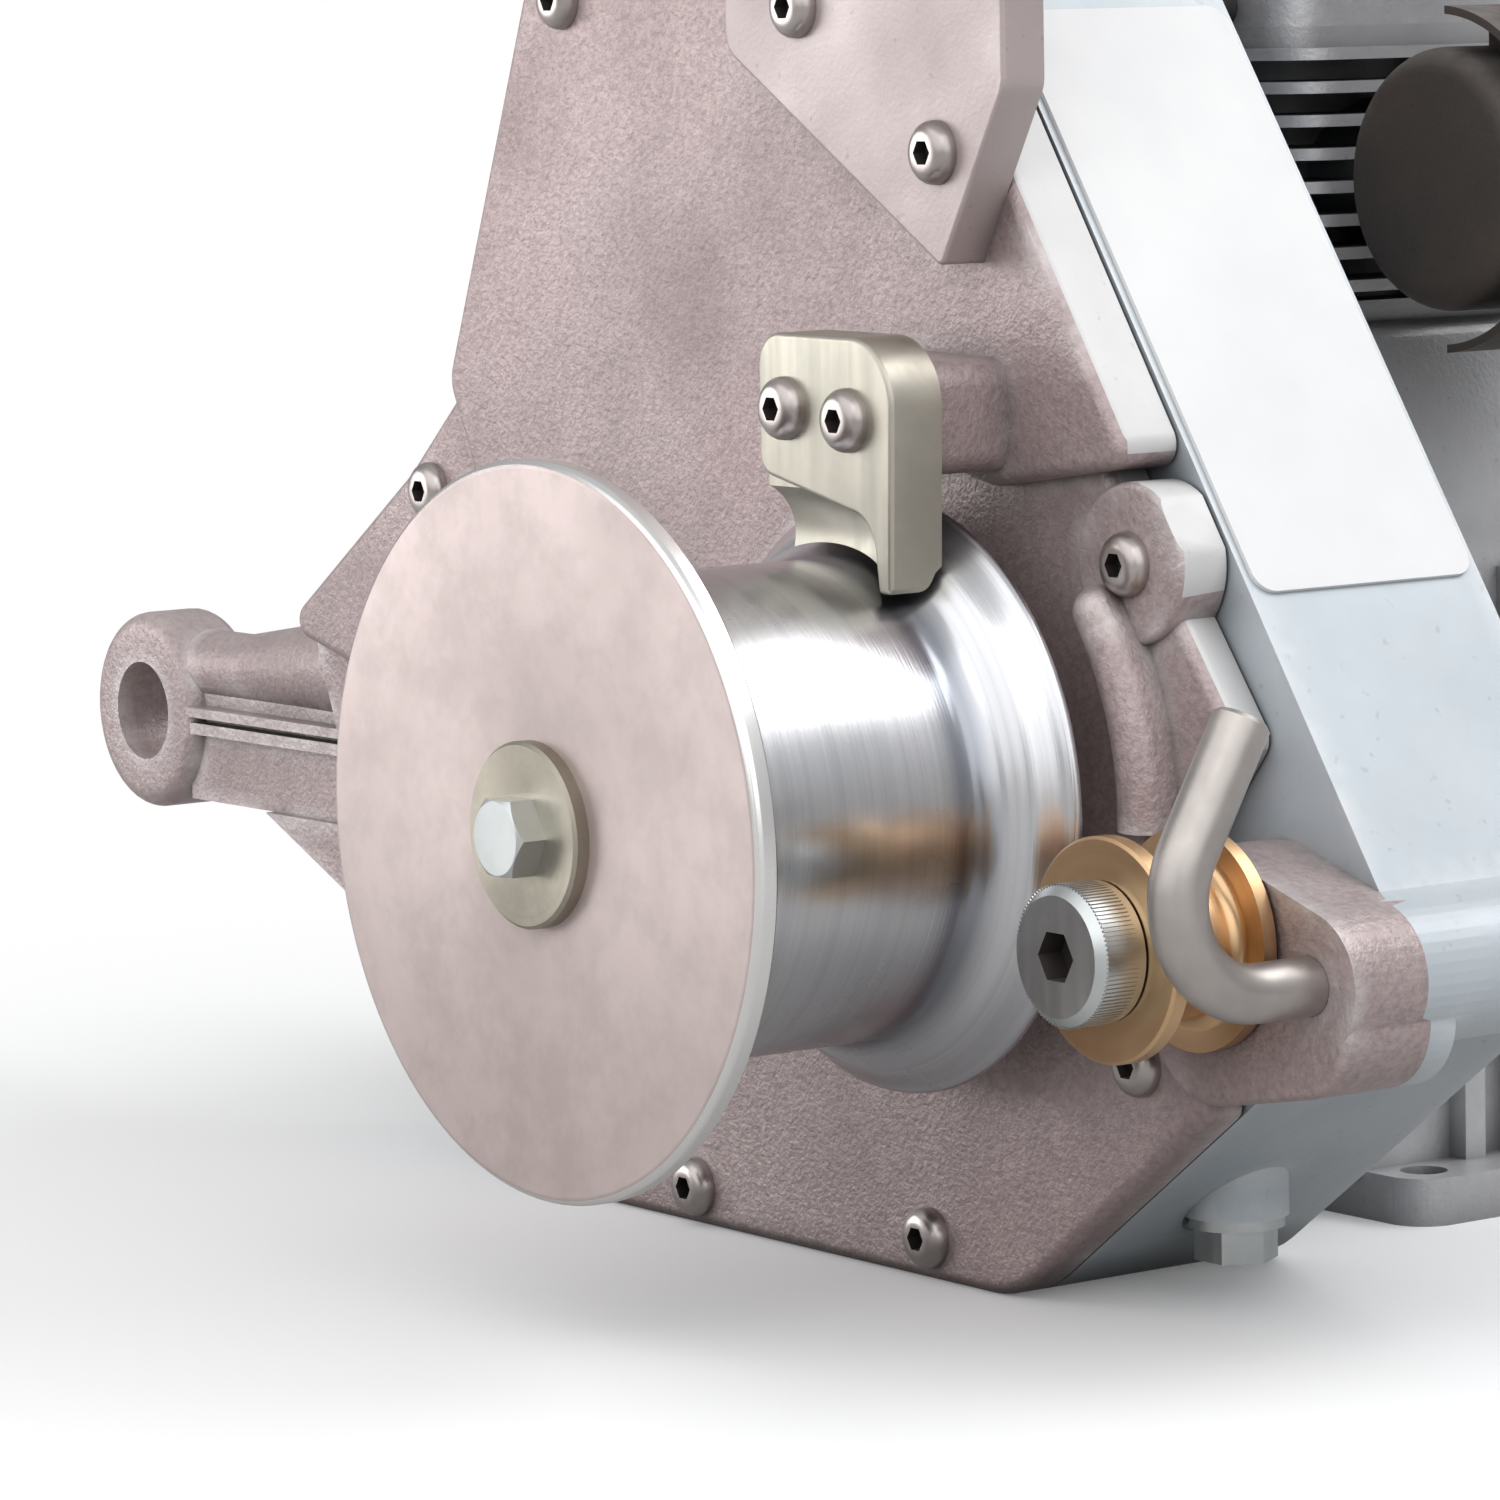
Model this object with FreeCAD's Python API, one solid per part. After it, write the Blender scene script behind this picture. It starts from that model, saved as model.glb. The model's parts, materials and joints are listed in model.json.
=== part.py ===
# Engine-driven capstan winch: cast gear case, rope drum, rope guide, roller, pigtail hook and small engine.
# The origin lies on the flat underside of the gear case, straight below the drum axis.
# X points to the load side, Y to the engine, Z up. Millimetres.
import FreeCAD
import Part
import math
import os

V = FreeCAD.Vector

# Gear case
AXIS_Z = 90.0            # drum axis above the base
CASE_DEPTH = 52.0        # seam to the outer rear face
CASE_WALL = 6.0
CASE_TOP = 150.0         # top edge above the drum axis
CASE_FLOOR_HALF_LEFT = 112.0
CASE_FLOOR_RIGHT = 16.0
TOP_LEFT_X = -118.5
TOP_RIGHT_X = -2.0
SHOULDER_X = -151.0
SHOULDER_Z = 65.0
ARM_ROOT_X = -222.0
ARM_ROOT_TOP = 14.0
HEEL_X = -198.0          # lower left corner, where the arm's gusset starts
HEEL_Z = -51.0
TIP_X = 112.0
TIP_Z = -20.0

# Front cover
COVER_RIM = 8.5          # seam to the lower face
PLATEAU_RISE = 4.5       # upper face stands proud of the lower face
COVER_WALL = 5.0
RECESS_R = 58.0          # round recess in the plateau about the drum
GASKET = 0.6
COVER_EDGE_FILLET = 2.5
EAR_R = 14.0
EAR_RISE = 2.0
RIB_R = 59.0             # jam rib about the root flange
RIB_HALF = 4.5
RIB_RISE = 8.4           # crown in front of the lower cover face
RIB_TOP_DEG = 36.0
RIB_END_DEG = -2.0
SCREW_PLACES = [(-163.3, 44.7), (53.5, 43.0), (52.3, -43.4), (-79.0, -82.5), (-7.6, -82.0)]
TOP_SCREW_PLACES = [(-108.0, 140.0)]
M6_HEAD_R = 5.6
M6_HEAD_H = 3.4
M6_R = 3.0
M6_HOLE_R = 3.3
SOCKET_AF = 4.0
SCREW_GRIP = 12.0        # thread length in the case

# Drum
DRUM_R = 42.5
DRUM_STRAIGHT = 54.6     # straight barrel behind the end disc
DRUM_FILLET_R = 10.0
DRUM_FILLET_DEG = 62.0
FLANGE_R = 53.0
FLANGE_LIP = 2.0
FLANGE_GAP = 8.0         # flange back to the plateau
DISC_R = 63.5
DISC_T = 4.6
DISC_ROUND = 1.6
WASHER_R = 16.0
WASHER_T = 3.0
M8_R = 4.0
M8_AF = 13.0
M8_HEAD = 5.3
DRUM_CAVITY_R = 38.5
SHAFT_R = 15.0           # at the front bearing
SHAFT_SEAT_R = 14.0      # under the drum
SHAFT_GEAR_R = 13.0
SHAFT_REAR_R = 10.0
KEY_W = 8.0
KEY_H = 7.0
KEY_INSET = 12.0         # front of the key behind the drum's front face
FIT = 0.05               # running and sliding fits, radial
FACE_GAP = 0.3

# Bearings: bore radius, outer radius, width
FRONT_BEARING = (15.0, 31.0, 16.0)
REAR_BEARING = (10.0, 23.5, 14.0)
SECOND_BEARING = (6.0, 14.0, 8.0)
FIRST_BEARING = (5.0, 13.0, 8.0)
INPUT_BEARING = (7.5, 17.5, 15.0)
SEAL_W = 6.0
SEAL_R = 24.0
SHAFT_COLLAR = 7.0       # between the front bearing and the bull gear
BEARING_WALL = 5.0       # metal round a bearing

# Gear train
PRESSURE_DEG = 20.0
BACKLASH = 0.16
ADDENDUM = 0.8           # stub teeth, in modules
DEDENDUM = 1.15
PINION_TEETH = 14
BULL_TEETH = 66
BULL_MODULE = 1.75
SECOND_TEETH = 70
SECOND_MODULE = 1.25
FIRST_TEETH = 65
FIRST_MODULE = 1.0
SECOND_DEG = 120.0       # second shaft seen from the drum
FIRST_DEG = 200.0        # first shaft seen from the second
INPUT_DEG = -55.0        # input shaft seen from the first
BULL_W = 16.0
BULL_RIM = 9.0
SECOND_W = 9.0
FIRST_W = 6.0
LAYER_GAP = 3.0
GEAR_CLEAR = 1.4         # bull gear tips to the case
SECOND_SEAT_R = 9.5
FIRST_SEAT_R = 6.8
M6_AF = 10.0
M6_HEAD_SIDE = 4.0

# Rope guide, roller and hook
GUIDE_T = 11.0
GUIDE_STANDOFF = 16.0    # plateau to the back of the guide
GUIDE_CLEAR = 1.6        # guide to drum
GUIDE_SCREWS = [(-3.4, 68.9), (14.5, 67.5)]
ROLLER_X = 81.0
ROLLER_Z = -17.3
ROLLER_R = 19.0
ROLLER_CORE_R = 13.0
ROLLER_FLANGE = 3.2
ROLLER_W = 22.0
ROLLER_BOSS_RISE = 9.2   # boss face in front of the lower cover face
SHOULDER_R = 8.0
SHOULDER_HEAD_R = 11.8
SHOULDER_HEAD_H = 9.5
SHOULDER_AF = 8.0
SHOULDER_THREAD_R = 6.0
SHOULDER_THREAD = 28.0
BOSS_R = 15.0
HOOK_ROD_R = 5.0
HOOK_X = 107.0
HOOK_Z = -22.6
HOOK_BEND_R = 16.3
HOOK_TAIL = 24.0
HOOK_SEAT = 40.0
HOOK_BOSS_R = 12.5
SOLE_DROP = 13.7         # lower lobe of the tip boss
EYE_X = -296.0
EYE_Z = -10.0
EYE_R = 21.0
EYE_BORE_R = 10.5
ARM_T = 18.0
ARM_Y = -14.0            # middle of the arm, near the rope's line of pull
ARM_BAR_R = 7.8
ARM_FLARE_R = 11.0
ARM_FLARE_X = -268.0
ARM_FLARE_RISE = 4.0
ARM_FOOT_Z = -28.0       # underside of the web
ARM_FOOT_X = -249.0      # where the gusset leaves the web

# Engine and clutch
BELL_DEPTH = 34.0
BELL_R = 58.0
BELL_WALL = 5.0
BELL_FLANGE = 13.0       # flange beyond the bell
BELL_SCREW_OUT = 6.8
CLUTCH_R = 40.0
CLUTCH_WALL = 3.0
CLUTCH_W = 22.0
CRANK_R = 9.0
BLOCK_W = 124.0
BLOCK_D = 76.0
BLOCK_TOP = 66.0         # above the crank axis
FOOT_W = 156.0
FOOT_D = 74.0
FOOT_INSET = 2.0
FOOT_T = 9.0
FOOT_HOLE_R = 4.5
FOOT_HOLE_X = 138.0
FOOT_HOLE_Y = 56.0
FIN_COUNT = 9
FIN_T = 2.2
FIN_PITCH = 6.2
FIN_W = 96.0
FIN_D = 72.0
BORE_BLOCK_R = 28.0
HEAD_H = 22.0
HEAD_W = 80.0            # cylinder plates and valve cover rim
HEAD_D = 64.0
HEAD_CORNER = 8.0
HEAD_PLATE = 4.0         # plates at both ends of the cylinder
VALVE_RIM = 8.0
VALVE_STEP = 6.0         # valve cover's top inside its rim
WEB_R = 34.0             # crank webs
WEB_T = 10.0
WEB_START = 24.0         # first web from the block's front
WEB_STEP = 20.0
PLUG_X = 22.0            # spark plug beside the crank axis
PLUG_R = 3.5
PLUG_AF = 7.0
PLUG_BOOT_R = 6.5
PORT_R = 14.0
PORT_STEP = 4.0          # ports beyond the fins
SHROUD_R = 76.0
SHROUD_D = 44.0
SHROUD_WALL = 2.5
SHROUD_STEP = 8.0        # air duct rear face in front of the fan housing's
DUCT_W = 104.0
DUCT_START = 40.0        # above the crank axis
CLAMP_W = 28.0           # block that holds the handle's leg
CLAMP_D = 26.0
CLAMP_DROP = 22.0
CLAMP_RISE = 16.0
STARTER_R = 62.0
STARTER_D = 30.0
FLYWHEEL_R = 66.0
FLYWHEEL_T = 12.0
FAN_BLADES = 14
FAN_H = 16.0
REEL_R = 27.0
REEL_W = 9.0
ROPE_R = 1.6
TANK_W = 150.0
TANK_D = 84.0
TANK_H = 52.0
TANK_WALL = 2.5
CAP_R = 22.0
CAP_H = 16.0
CAP_INSET = 33.0         # cap from the tank's end
FILTER_REACH = 34.0      # air cleaner from the fins
FILTER_BACK = 10.0
FILTER_LID = 30.0
FILTER_W = 74.0
FILTER_LOW = 39.0        # below and above the port
FILTER_HIGH = 43.0
FILTER_LIP = 3.0         # lid beyond its back
FILTER_WALL = 4.0
FILTER_KNOB_R = 9.0
FILTER_KNOB_H = 8.0
SWITCH_R = 9.0
SWITCH_H = 8.0
SWITCH_BAR = 5.0
SWITCH_BAR_H = 14.0
THROTTLE_REST_DEG = 72.0
CHOKE_REST_DEG = -65.0
MUFFLER_R = 24.0
MUFFLER_L = 70.0
HANDLE_R = 9.0
HANDLE_TOP = 272.0       # handle centre line above the drum axis
HANDLE_X = -30.0
GRIP_R = 14.5
GRIP_L = 120.0
GRIP_RINGS = 13
GRIP_PITCH = 8.0
GRIP_END = 12.0          # first ring from the grip's end
HANDLE_BEND = 26.0
BRACKET_T = 9.0
LABEL_T = 0.8
LABEL_L = 118.0
LABEL_H = 49.0
LABEL_START = 70.0       # along the wall from its lower end
TANK_GAP = 6.0           # tank feet over the valve cover
TANK_FOOT_X = 22.0
BRACKET_SCREWS = [(17.3, 112.7), (-22.0, 138.0)]
DRAIN_X = 40.0
DRAIN_Y = -3.0
DRAIN_FACE_Z = -75.0
DRAIN_R = 6.0
DRAIN_LENGTH = 12.0
DRAIN_PAD_R = 9.5
DRAIN_AF = 13.0
DRAIN_HEAD = 8.0
FILL_X = -60.0
FILL_Y = 0.0

# Depth stations along Y
SEAM_Y = -CASE_DEPTH / 2
REAR_Y = CASE_DEPTH / 2
LOWER_Y = SEAM_Y - COVER_RIM
PLATEAU_Y = LOWER_Y - PLATEAU_RISE
FLANGE_BACK_Y = PLATEAU_Y - FLANGE_GAP
RIM_Y = FLANGE_BACK_Y - FLANGE_LIP
FILLET_Y = RIM_Y - DRUM_FILLET_R * math.sin(math.radians(DRUM_FILLET_DEG)) - 6.0
DISC_BACK_Y = FILLET_Y - DRUM_STRAIGHT
DISC_FRONT_Y = DISC_BACK_Y - DISC_T
BULL_Y = SEAM_Y + 2.0
FRONT_BEARING_Y = BULL_Y - SHAFT_COLLAR - FRONT_BEARING[2]
CAVITY_Y = FRONT_BEARING_Y - SEAL_W - 3.0
SECOND_Y = BULL_Y + BULL_W + LAYER_GAP
FIRST_Y = SECOND_Y + SECOND_W + LAYER_GAP
WALL_Y = REAR_Y - CASE_WALL
GUIDE_BACK_Y = PLATEAU_Y - GUIDE_STANDOFF
GUIDE_FRONT_Y = GUIDE_BACK_Y - GUIDE_T
BOSS_Y = LOWER_Y - ROLLER_BOSS_RISE
ROLLER_BACK_Y = BOSS_Y - FACE_GAP
ROLLER_FRONT_Y = ROLLER_BACK_Y - ROLLER_W
REAR_BEARING_Y = WALL_Y + 2.0 - REAR_BEARING[2]
SHAFT_BEARING_Y = BULL_Y - SECOND_BEARING[2]
SHAFT_REAR_BEARING_Y = WALL_Y + 2.0 - SECOND_BEARING[2]
INPUT_BEARING_Y = WALL_Y - 2.0
BELL_Y = REAR_Y
BLOCK_Y = BELL_Y + BELL_DEPTH
SHROUD_Y = BLOCK_Y + BLOCK_D
STARTER_Y = SHROUD_Y + SHROUD_D
CLUTCH_Y = INPUT_BEARING_Y + INPUT_BEARING[2] + 3.0


def polar(x, z, length, deg):
    a = math.radians(deg)
    return x + length * math.cos(a), z + length * math.sin(a)


BULL_C = BULL_MODULE * (BULL_TEETH + PINION_TEETH) / 2
SECOND_C = SECOND_MODULE * (SECOND_TEETH + PINION_TEETH) / 2
FIRST_C = FIRST_MODULE * (FIRST_TEETH + PINION_TEETH) / 2
SECOND_X, SECOND_Z = polar(0.0, 0.0, BULL_C, SECOND_DEG)
FIRST_X, FIRST_Z = polar(SECOND_X, SECOND_Z, SECOND_C, FIRST_DEG)
CRANK_X, CRANK_Z = polar(FIRST_X, FIRST_Z, FIRST_C, INPUT_DEG)
BELL_SCREW_PLACES = [polar(CRANK_X, CRANK_Z, BELL_R + BELL_SCREW_OUT, 45 + 90 * i) for i in range(4)]
BLOCK_BASE_Z = CRANK_Z + BLOCK_TOP
HEAD_Z = BLOCK_BASE_Z + FIN_COUNT * FIN_PITCH
TANK_Z = HEAD_Z + HEAD_H + TANK_GAP


# Building blocks
def box(x0, x1, y0, y1, z0, z1):
    return Part.makeBox(x1 - x0, y1 - y0, z1 - z0, V(x0, y0, z0 + AXIS_Z))


def rod(x, z, r, y0, y1):
    """Cylinder along Y; z is measured from the drum axis."""
    return Part.makeCylinder(r, y1 - y0, V(x, y0, z + AXIS_Z), V(0, 1, 0))


def tube(x, z, r_out, r_in, y0, y1):
    return rod(x, z, r_out, y0, y1).cut(rod(x, z, r_in, y0 - 1, y1 + 1))


def rod_x(y, z, r, x0, x1):
    return Part.makeCylinder(r, x1 - x0, V(x0, y, z + AXIS_Z), V(1, 0, 0))


def rod_z(x, y, r, z0, z1):
    return Part.makeCylinder(r, z1 - z0, V(x, y, z0 + AXIS_Z), V(0, 0, 1))


def outline(points, y):
    """Closed wire in the plane Y = y; points are (x, z, corner radius)."""
    n = len(points)
    edges = []
    last = None
    first = None
    for i in range(n):
        px, pz, _ = points[i - 1]
        x, z, r = points[i]
        qx, qz, _ = points[(i + 1) % n]
        a = V(px - x, 0, pz - z)
        b = V(qx - x, 0, qz - z)
        a.normalize()
        b.normalize()
        corner = V(x, y, z + AXIS_Z)
        if r > 0:
            half = a.getAngle(b) / 2
            reach = r / math.tan(half)
            start = corner + a * reach
            end = corner + b * reach
            mid_dir = a + b
            mid_dir.normalize()
            middle = corner + mid_dir * (r / math.sin(half) - r)
        else:
            start = end = corner
        if last is not None and last.distanceToPoint(start) > 1e-6:
            edges.append(Part.LineSegment(last, start).toShape())
        if r > 0:
            edges.append(Part.Arc(start, middle, end).toShape())
        if first is None:
            first = start
        last = end
    if last.distanceToPoint(first) > 1e-6:
        edges.append(Part.LineSegment(last, first).toShape())
    return Part.Wire(edges)


def prism(points, y0, y1):
    return Part.Face(outline(points, y0)).extrude(V(0, y1 - y0, 0))


def inset(points, amount):
    """Outline moved inwards by amount, corner by corner."""
    n = len(points)
    area = sum(points[i - 1][0] * points[i][1] - points[i][0] * points[i - 1][1] for i in range(n))
    side = 1.0 if area > 0 else -1.0
    moved = []
    for i in range(n):
        px, pz, _ = points[i - 1]
        x, z, r = points[i]
        qx, qz, _ = points[(i + 1) % n]
        a = V(x - px, 0, z - pz)
        b = V(qx - x, 0, qz - z)
        a.normalize()
        b.normalize()
        na = V(-a.z, 0, a.x) * side
        nb = V(-b.z, 0, b.x) * side
        k = amount / (1 + na.dot(nb))
        turn = (a.z * b.x - a.x * b.z) * side
        r_new = r + amount if turn > 0 else max(r - amount, 1.0)
        moved.append((x + (na.x + nb.x) * k, z + (na.z + nb.z) * k, r_new if r > 0 else 0))
    return moved


def lathe(profile, x, z):
    """Solid of revolution about the Y line through x, z; profile is a list of (r, y)."""
    pts = [V(x + r, y, z + AXIS_Z) for r, y in profile]
    wire = Part.makePolygon(pts + [pts[0]])
    return Part.Face(wire).revolve(V(x, 0, z + AXIS_Z), V(0, 1, 0), 360)


def arc_profile(cr, cy, radius, deg0, deg1, steps=8):
    return [(cr + radius * math.cos(math.radians(deg0 + (deg1 - deg0) * i / steps)),
             cy + radius * math.sin(math.radians(deg0 + (deg1 - deg0) * i / steps)))
            for i in range(steps + 1)]


def hexagon_y(x, z, across, y0, y1):
    r = across / math.sqrt(3)
    corners = [polar(x, z, r, 60 * i) for i in range(6)]
    return prism([(px, pz, 0) for px, pz in corners], y0, y1)


def join(shapes):
    out = shapes[0]
    if len(shapes) > 1:
        out = out.multiFuse(shapes[1:])
    return out.removeSplitter()


def soften(shape, radius, wanted):
    """Fillet the edges that wanted(edge) picks; each must survive by itself."""
    edges = [e for e in shape.Edges if wanted(e)]
    if not edges:
        return shape
    return shape.makeFillet(radius, edges)


def export(name, shape):
    shape.exportStep("parts/" + name + ".step")


def compound(shapes):
    return Part.makeCompound(shapes)


# Involute spur gears
def gear_outline(module, teeth, phase_deg):
    """Points of a stub involute gear about the origin, tooth 0 centred on phase."""
    pitch_r = module * teeth / 2
    base_r = pitch_r * math.cos(math.radians(PRESSURE_DEG))
    tip_r = pitch_r + ADDENDUM * module
    root_r = pitch_r - DEDENDUM * module
    inv = math.tan(math.radians(PRESSURE_DEG)) - math.radians(PRESSURE_DEG)
    half = (math.pi * module / 2 - BACKLASH) / (2 * pitch_r)
    flank = []
    start_r = max(base_r, root_r)
    for i in range(5):
        r = start_r + (tip_r - start_r) * i / 4
        roll = math.sqrt(max((r / base_r) ** 2 - 1, 0))
        flank.append((r, half + inv - (roll - math.atan(roll))))
    if root_r < base_r:
        flank.insert(0, (root_r, flank[0][1]))
    pts = []
    for k in range(teeth):
        centre = math.radians(phase_deg) + 2 * math.pi * k / teeth
        for r, a in flank:
            pts.append((r * math.cos(centre - a), r * math.sin(centre - a), 0))
        for r, a in reversed(flank):
            pts.append((r * math.cos(centre + a), r * math.sin(centre + a), 0))
    return pts


def gear(module, teeth, phase_deg, x, z, y0, y1):
    pts = [(x + px, z + pz, 0) for px, pz, _ in gear_outline(module, teeth, phase_deg)]
    return prism(pts, y0, y1)


def mesh_phase(teeth_a, phase_a, teeth_b, line_deg):
    """Phase of gear b that meshes with gear a, with b in the direction line_deg from a."""
    turns_a = (line_deg - phase_a) * teeth_a / 360.0
    return line_deg + 180.0 - (360.0 / teeth_b) * (0.5 - turns_a)


SECOND_PINION_PHASE = mesh_phase(BULL_TEETH, 0.0, PINION_TEETH, SECOND_DEG)
FIRST_PINION_PHASE = mesh_phase(SECOND_TEETH, 0.0, PINION_TEETH, FIRST_DEG)
INPUT_PINION_PHASE = mesh_phase(FIRST_TEETH, 0.0, PINION_TEETH, INPUT_DEG)


# Outlines, as (x, z from the drum axis, corner radius)
CASE_OUTLINE = [
    (-CASE_FLOOR_HALF_LEFT, -AXIS_Z, 8), (CASE_FLOOR_RIGHT, -AXIS_Z, 22), (TIP_X, TIP_Z, 12),
    (TOP_RIGHT_X, CASE_TOP, 16), (TOP_LEFT_X, CASE_TOP, 16), (SHOULDER_X, SHOULDER_Z, 10),
    (ARM_ROOT_X, ARM_ROOT_TOP, 6), (HEEL_X, HEEL_Z, 10)]
COVER_OUTLINE = [
    (-CASE_FLOOR_HALF_LEFT, -AXIS_Z, 8), (CASE_FLOOR_RIGHT, -AXIS_Z, 22), (70.5, -50.3, 3), (65, -37, 4),
    (65.2, -3, 5), (79, 14, 4), (45, 60, 4), (TOP_RIGHT_X - 8, CASE_TOP - 6, 12),
    (TOP_LEFT_X + 4, CASE_TOP - 6, 12), (SHOULDER_X - 2, SHOULDER_Z, 8), (-172, 48, 10),
    (ARM_ROOT_X + 1, ARM_ROOT_TOP, 4), (-180, 4, 10), (-180, -34, 12)]
PLATEAU_OUTLINE = [
    (57.6, 59.8, 4), (TOP_RIGHT_X, CASE_TOP, 16), (TOP_LEFT_X, CASE_TOP, 16), (SHOULDER_X, SHOULDER_Z + 2, 8),
    (-141, 46, 8), (-66, 6, 5), (0, 52, 2)]
GUIDE_BOSS = [(-7, 58, 4), (24.5, 57.5, 4), (24.5, 77, 5), (-7, 78, 4)]
GUIDE_OUTLINE = [
    (-11.5, 57.5, 4), (-11.5, 82, 6), (27, 81.6, 12), (25.6, 38, 1.2), (22, 38, 1), (20.4, 50.5, 7)]
RAMP_OUTLINE = [(-10, 37, 0), (22.5, 36, 0), (22.5, 62, 0), (-10, 62, 0)]
RAMP_SCOOP_R = 9.5
RAMP_SCOOP_Z = 46.5
RAMP_SCOOP_LEAD = 3.0    # scoop axis in front of the guide
BRACKET_OUTLINE = [
    (18, 92.8, 1.5), (36, 124, 6), (36, 152, 14), (HANDLE_X + 22, HANDLE_TOP - 26, 12),
    (HANDLE_X + 16, HANDLE_TOP + 16, 14), (HANDLE_X - 16, HANDLE_TOP + 16, 14),
    (HANDLE_X - 16, HANDLE_TOP - 40, 14), (-44, 165, 12), (-44, 130.6, 6)]
TIP_BOSS = [(ROLLER_X, ROLLER_Z, BOSS_R), (HOOK_X - 1, HOOK_Z, HOOK_BOSS_R)]
TIP_SOLE = [(ROLLER_X, ROLLER_Z - SOLE_DROP, BOSS_R), (HOOK_X - 3, HOOK_Z - SOLE_DROP / 2, HOOK_BOSS_R)]


def hull_of_two(circles, y0, y1):
    """Two round bosses along Y joined by their common tangents."""
    (ax, az, ar), (bx, bz, br) = circles
    span = math.hypot(bx - ax, bz - az)
    line = math.atan2(bz - az, bx - ax)
    spread = math.acos((ar - br) / span)
    pts = []
    for cx, cz, cr, sign in ((ax, az, ar, 1), (bx, bz, br, 1), (bx, bz, br, -1), (ax, az, ar, -1)):
        a = line + sign * spread
        pts.append((cx + cr * math.cos(a), cz + cr * math.sin(a), 0))
    return join([rod(ax, az, ar, y0, y1), rod(bx, bz, br, y0, y1), prism(pts, y0, y1)])


def at_y(edge, y):
    return all(abs(v.Y - y) < 1e-4 for v in edge.Vertexes)


def front_rounded(points, y0, y1, radius):
    """Prism whose front edges are rounded over."""
    block = prism(points, y0, y1)
    return soften(block, radius, lambda e: at_y(e, y0))


# Front cover
def jam_rib():
    """Half-round rib that wraps the root flange and keeps rope out of the gap."""
    crown_y = LOWER_Y - RIB_RISE + RIB_HALF
    arc = arc_profile(RIB_R, crown_y, RIB_HALF, 0, -180, 10)
    profile = [(RIB_R - RIB_HALF, SEAM_Y - GASKET), (RIB_R + RIB_HALF, SEAM_Y - GASKET)] + arc
    pts = [V(r, y, AXIS_Z) for r, y in profile]
    face = Part.Face(Part.makePolygon(pts + [pts[0]]))
    centre = V(0, 0, AXIS_Z)
    face.rotate(centre, V(0, -1, 0), RIB_END_DEG)
    rib = face.revolve(centre, V(0, -1, 0), RIB_TOP_DEG - RIB_END_DEG)
    x, z = polar(0, 0, RIB_R, RIB_TOP_DEG)
    dome = Part.makeSphere(RIB_HALF, V(x, crown_y, z + AXIS_Z))
    return [rib, join([rod(x, z, RIB_HALF, crown_y, SEAM_Y - GASKET), dome])]


def bearing_nose():
    nose_y = FRONT_BEARING_Y - SEAL_W
    return rod(0, 0, FRONT_BEARING[1] + BEARING_WALL, nose_y, SEAM_Y - GASKET)


def make_front_cover():
    back = SEAM_Y - GASKET
    lower = front_rounded(COVER_OUTLINE, LOWER_Y, back, COVER_EDGE_FILLET)
    plateau = front_rounded(PLATEAU_OUTLINE, PLATEAU_Y, back, COVER_EDGE_FILLET)
    plateau = plateau.cut(rod(0, 0, RECESS_R, PLATEAU_Y - 1, LOWER_Y))
    ear_x, ear_z = SCREW_PLACES[1]
    ear = rod(ear_x, ear_z, EAR_R, LOWER_Y - EAR_RISE, back)
    ear = soften(ear, 1.2, lambda e: at_y(e, LOWER_Y - EAR_RISE))
    ear = ear.common(prism(inset(CASE_OUTLINE, 0.5), PLATEAU_Y, back))
    boss = front_rounded(GUIDE_BOSS, GUIDE_BACK_Y, PLATEAU_Y + 2, 0.8)
    cover = join([lower, plateau, ear, bearing_nose(), boss] + jam_rib())
    hollow = prism(inset(COVER_OUTLINE, CASE_WALL + 8), LOWER_Y + COVER_WALL, SEAM_Y)
    for x, z in SCREW_PLACES + TOP_SCREW_PLACES:
        hollow = hollow.cut(rod(x, z, M6_HEAD_R + 3, LOWER_Y, SEAM_Y + 1))
    cover = cover.cut(hollow)
    holes = [rod(x, z, M6_HOLE_R, PLATEAU_Y - 6, SEAM_Y) for x, z in SCREW_PLACES + TOP_SCREW_PLACES]
    guide_end = GUIDE_BACK_Y + GUIDE_STANDOFF + 4
    holes += [rod(x, z, M6_HOLE_R, GUIDE_BACK_Y - 1, guide_end) for x, z in GUIDE_SCREWS]
    holes += [rod(x, z, M6_HOLE_R, PLATEAU_Y - 1, PLATEAU_Y + SCREW_GRIP) for x, z in BRACKET_SCREWS]
    holes.append(rod(0, 0, FRONT_BEARING[1] + FIT, FRONT_BEARING_Y, SEAM_Y))
    holes.append(rod(0, 0, SEAL_R + FIT, FRONT_BEARING_Y - SEAL_W - 1, FRONT_BEARING_Y + 1))
    holes.append(rod(SECOND_X, SECOND_Z, SECOND_BEARING[1] + FIT, SHAFT_BEARING_Y, SEAM_Y))
    holes.append(rod(FIRST_X, FIRST_Z, FIRST_BEARING[1] + FIT, SHAFT_BEARING_Y, SEAM_Y))
    return cover.cut(join(holes))


def gear_room(y0, y1):
    """Hollow for the gears, kept behind the cover all round."""
    room = prism(inset(CASE_OUTLINE, CASE_WALL), y0, y1)
    room = room.common(prism(inset(COVER_OUTLINE, CASE_WALL), y0, y1))
    tip_r = BULL_MODULE * (BULL_TEETH / 2 + ADDENDUM)
    return join([room, rod(0, 0, tip_r + GEAR_CLEAR, y0, y1)])


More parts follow.
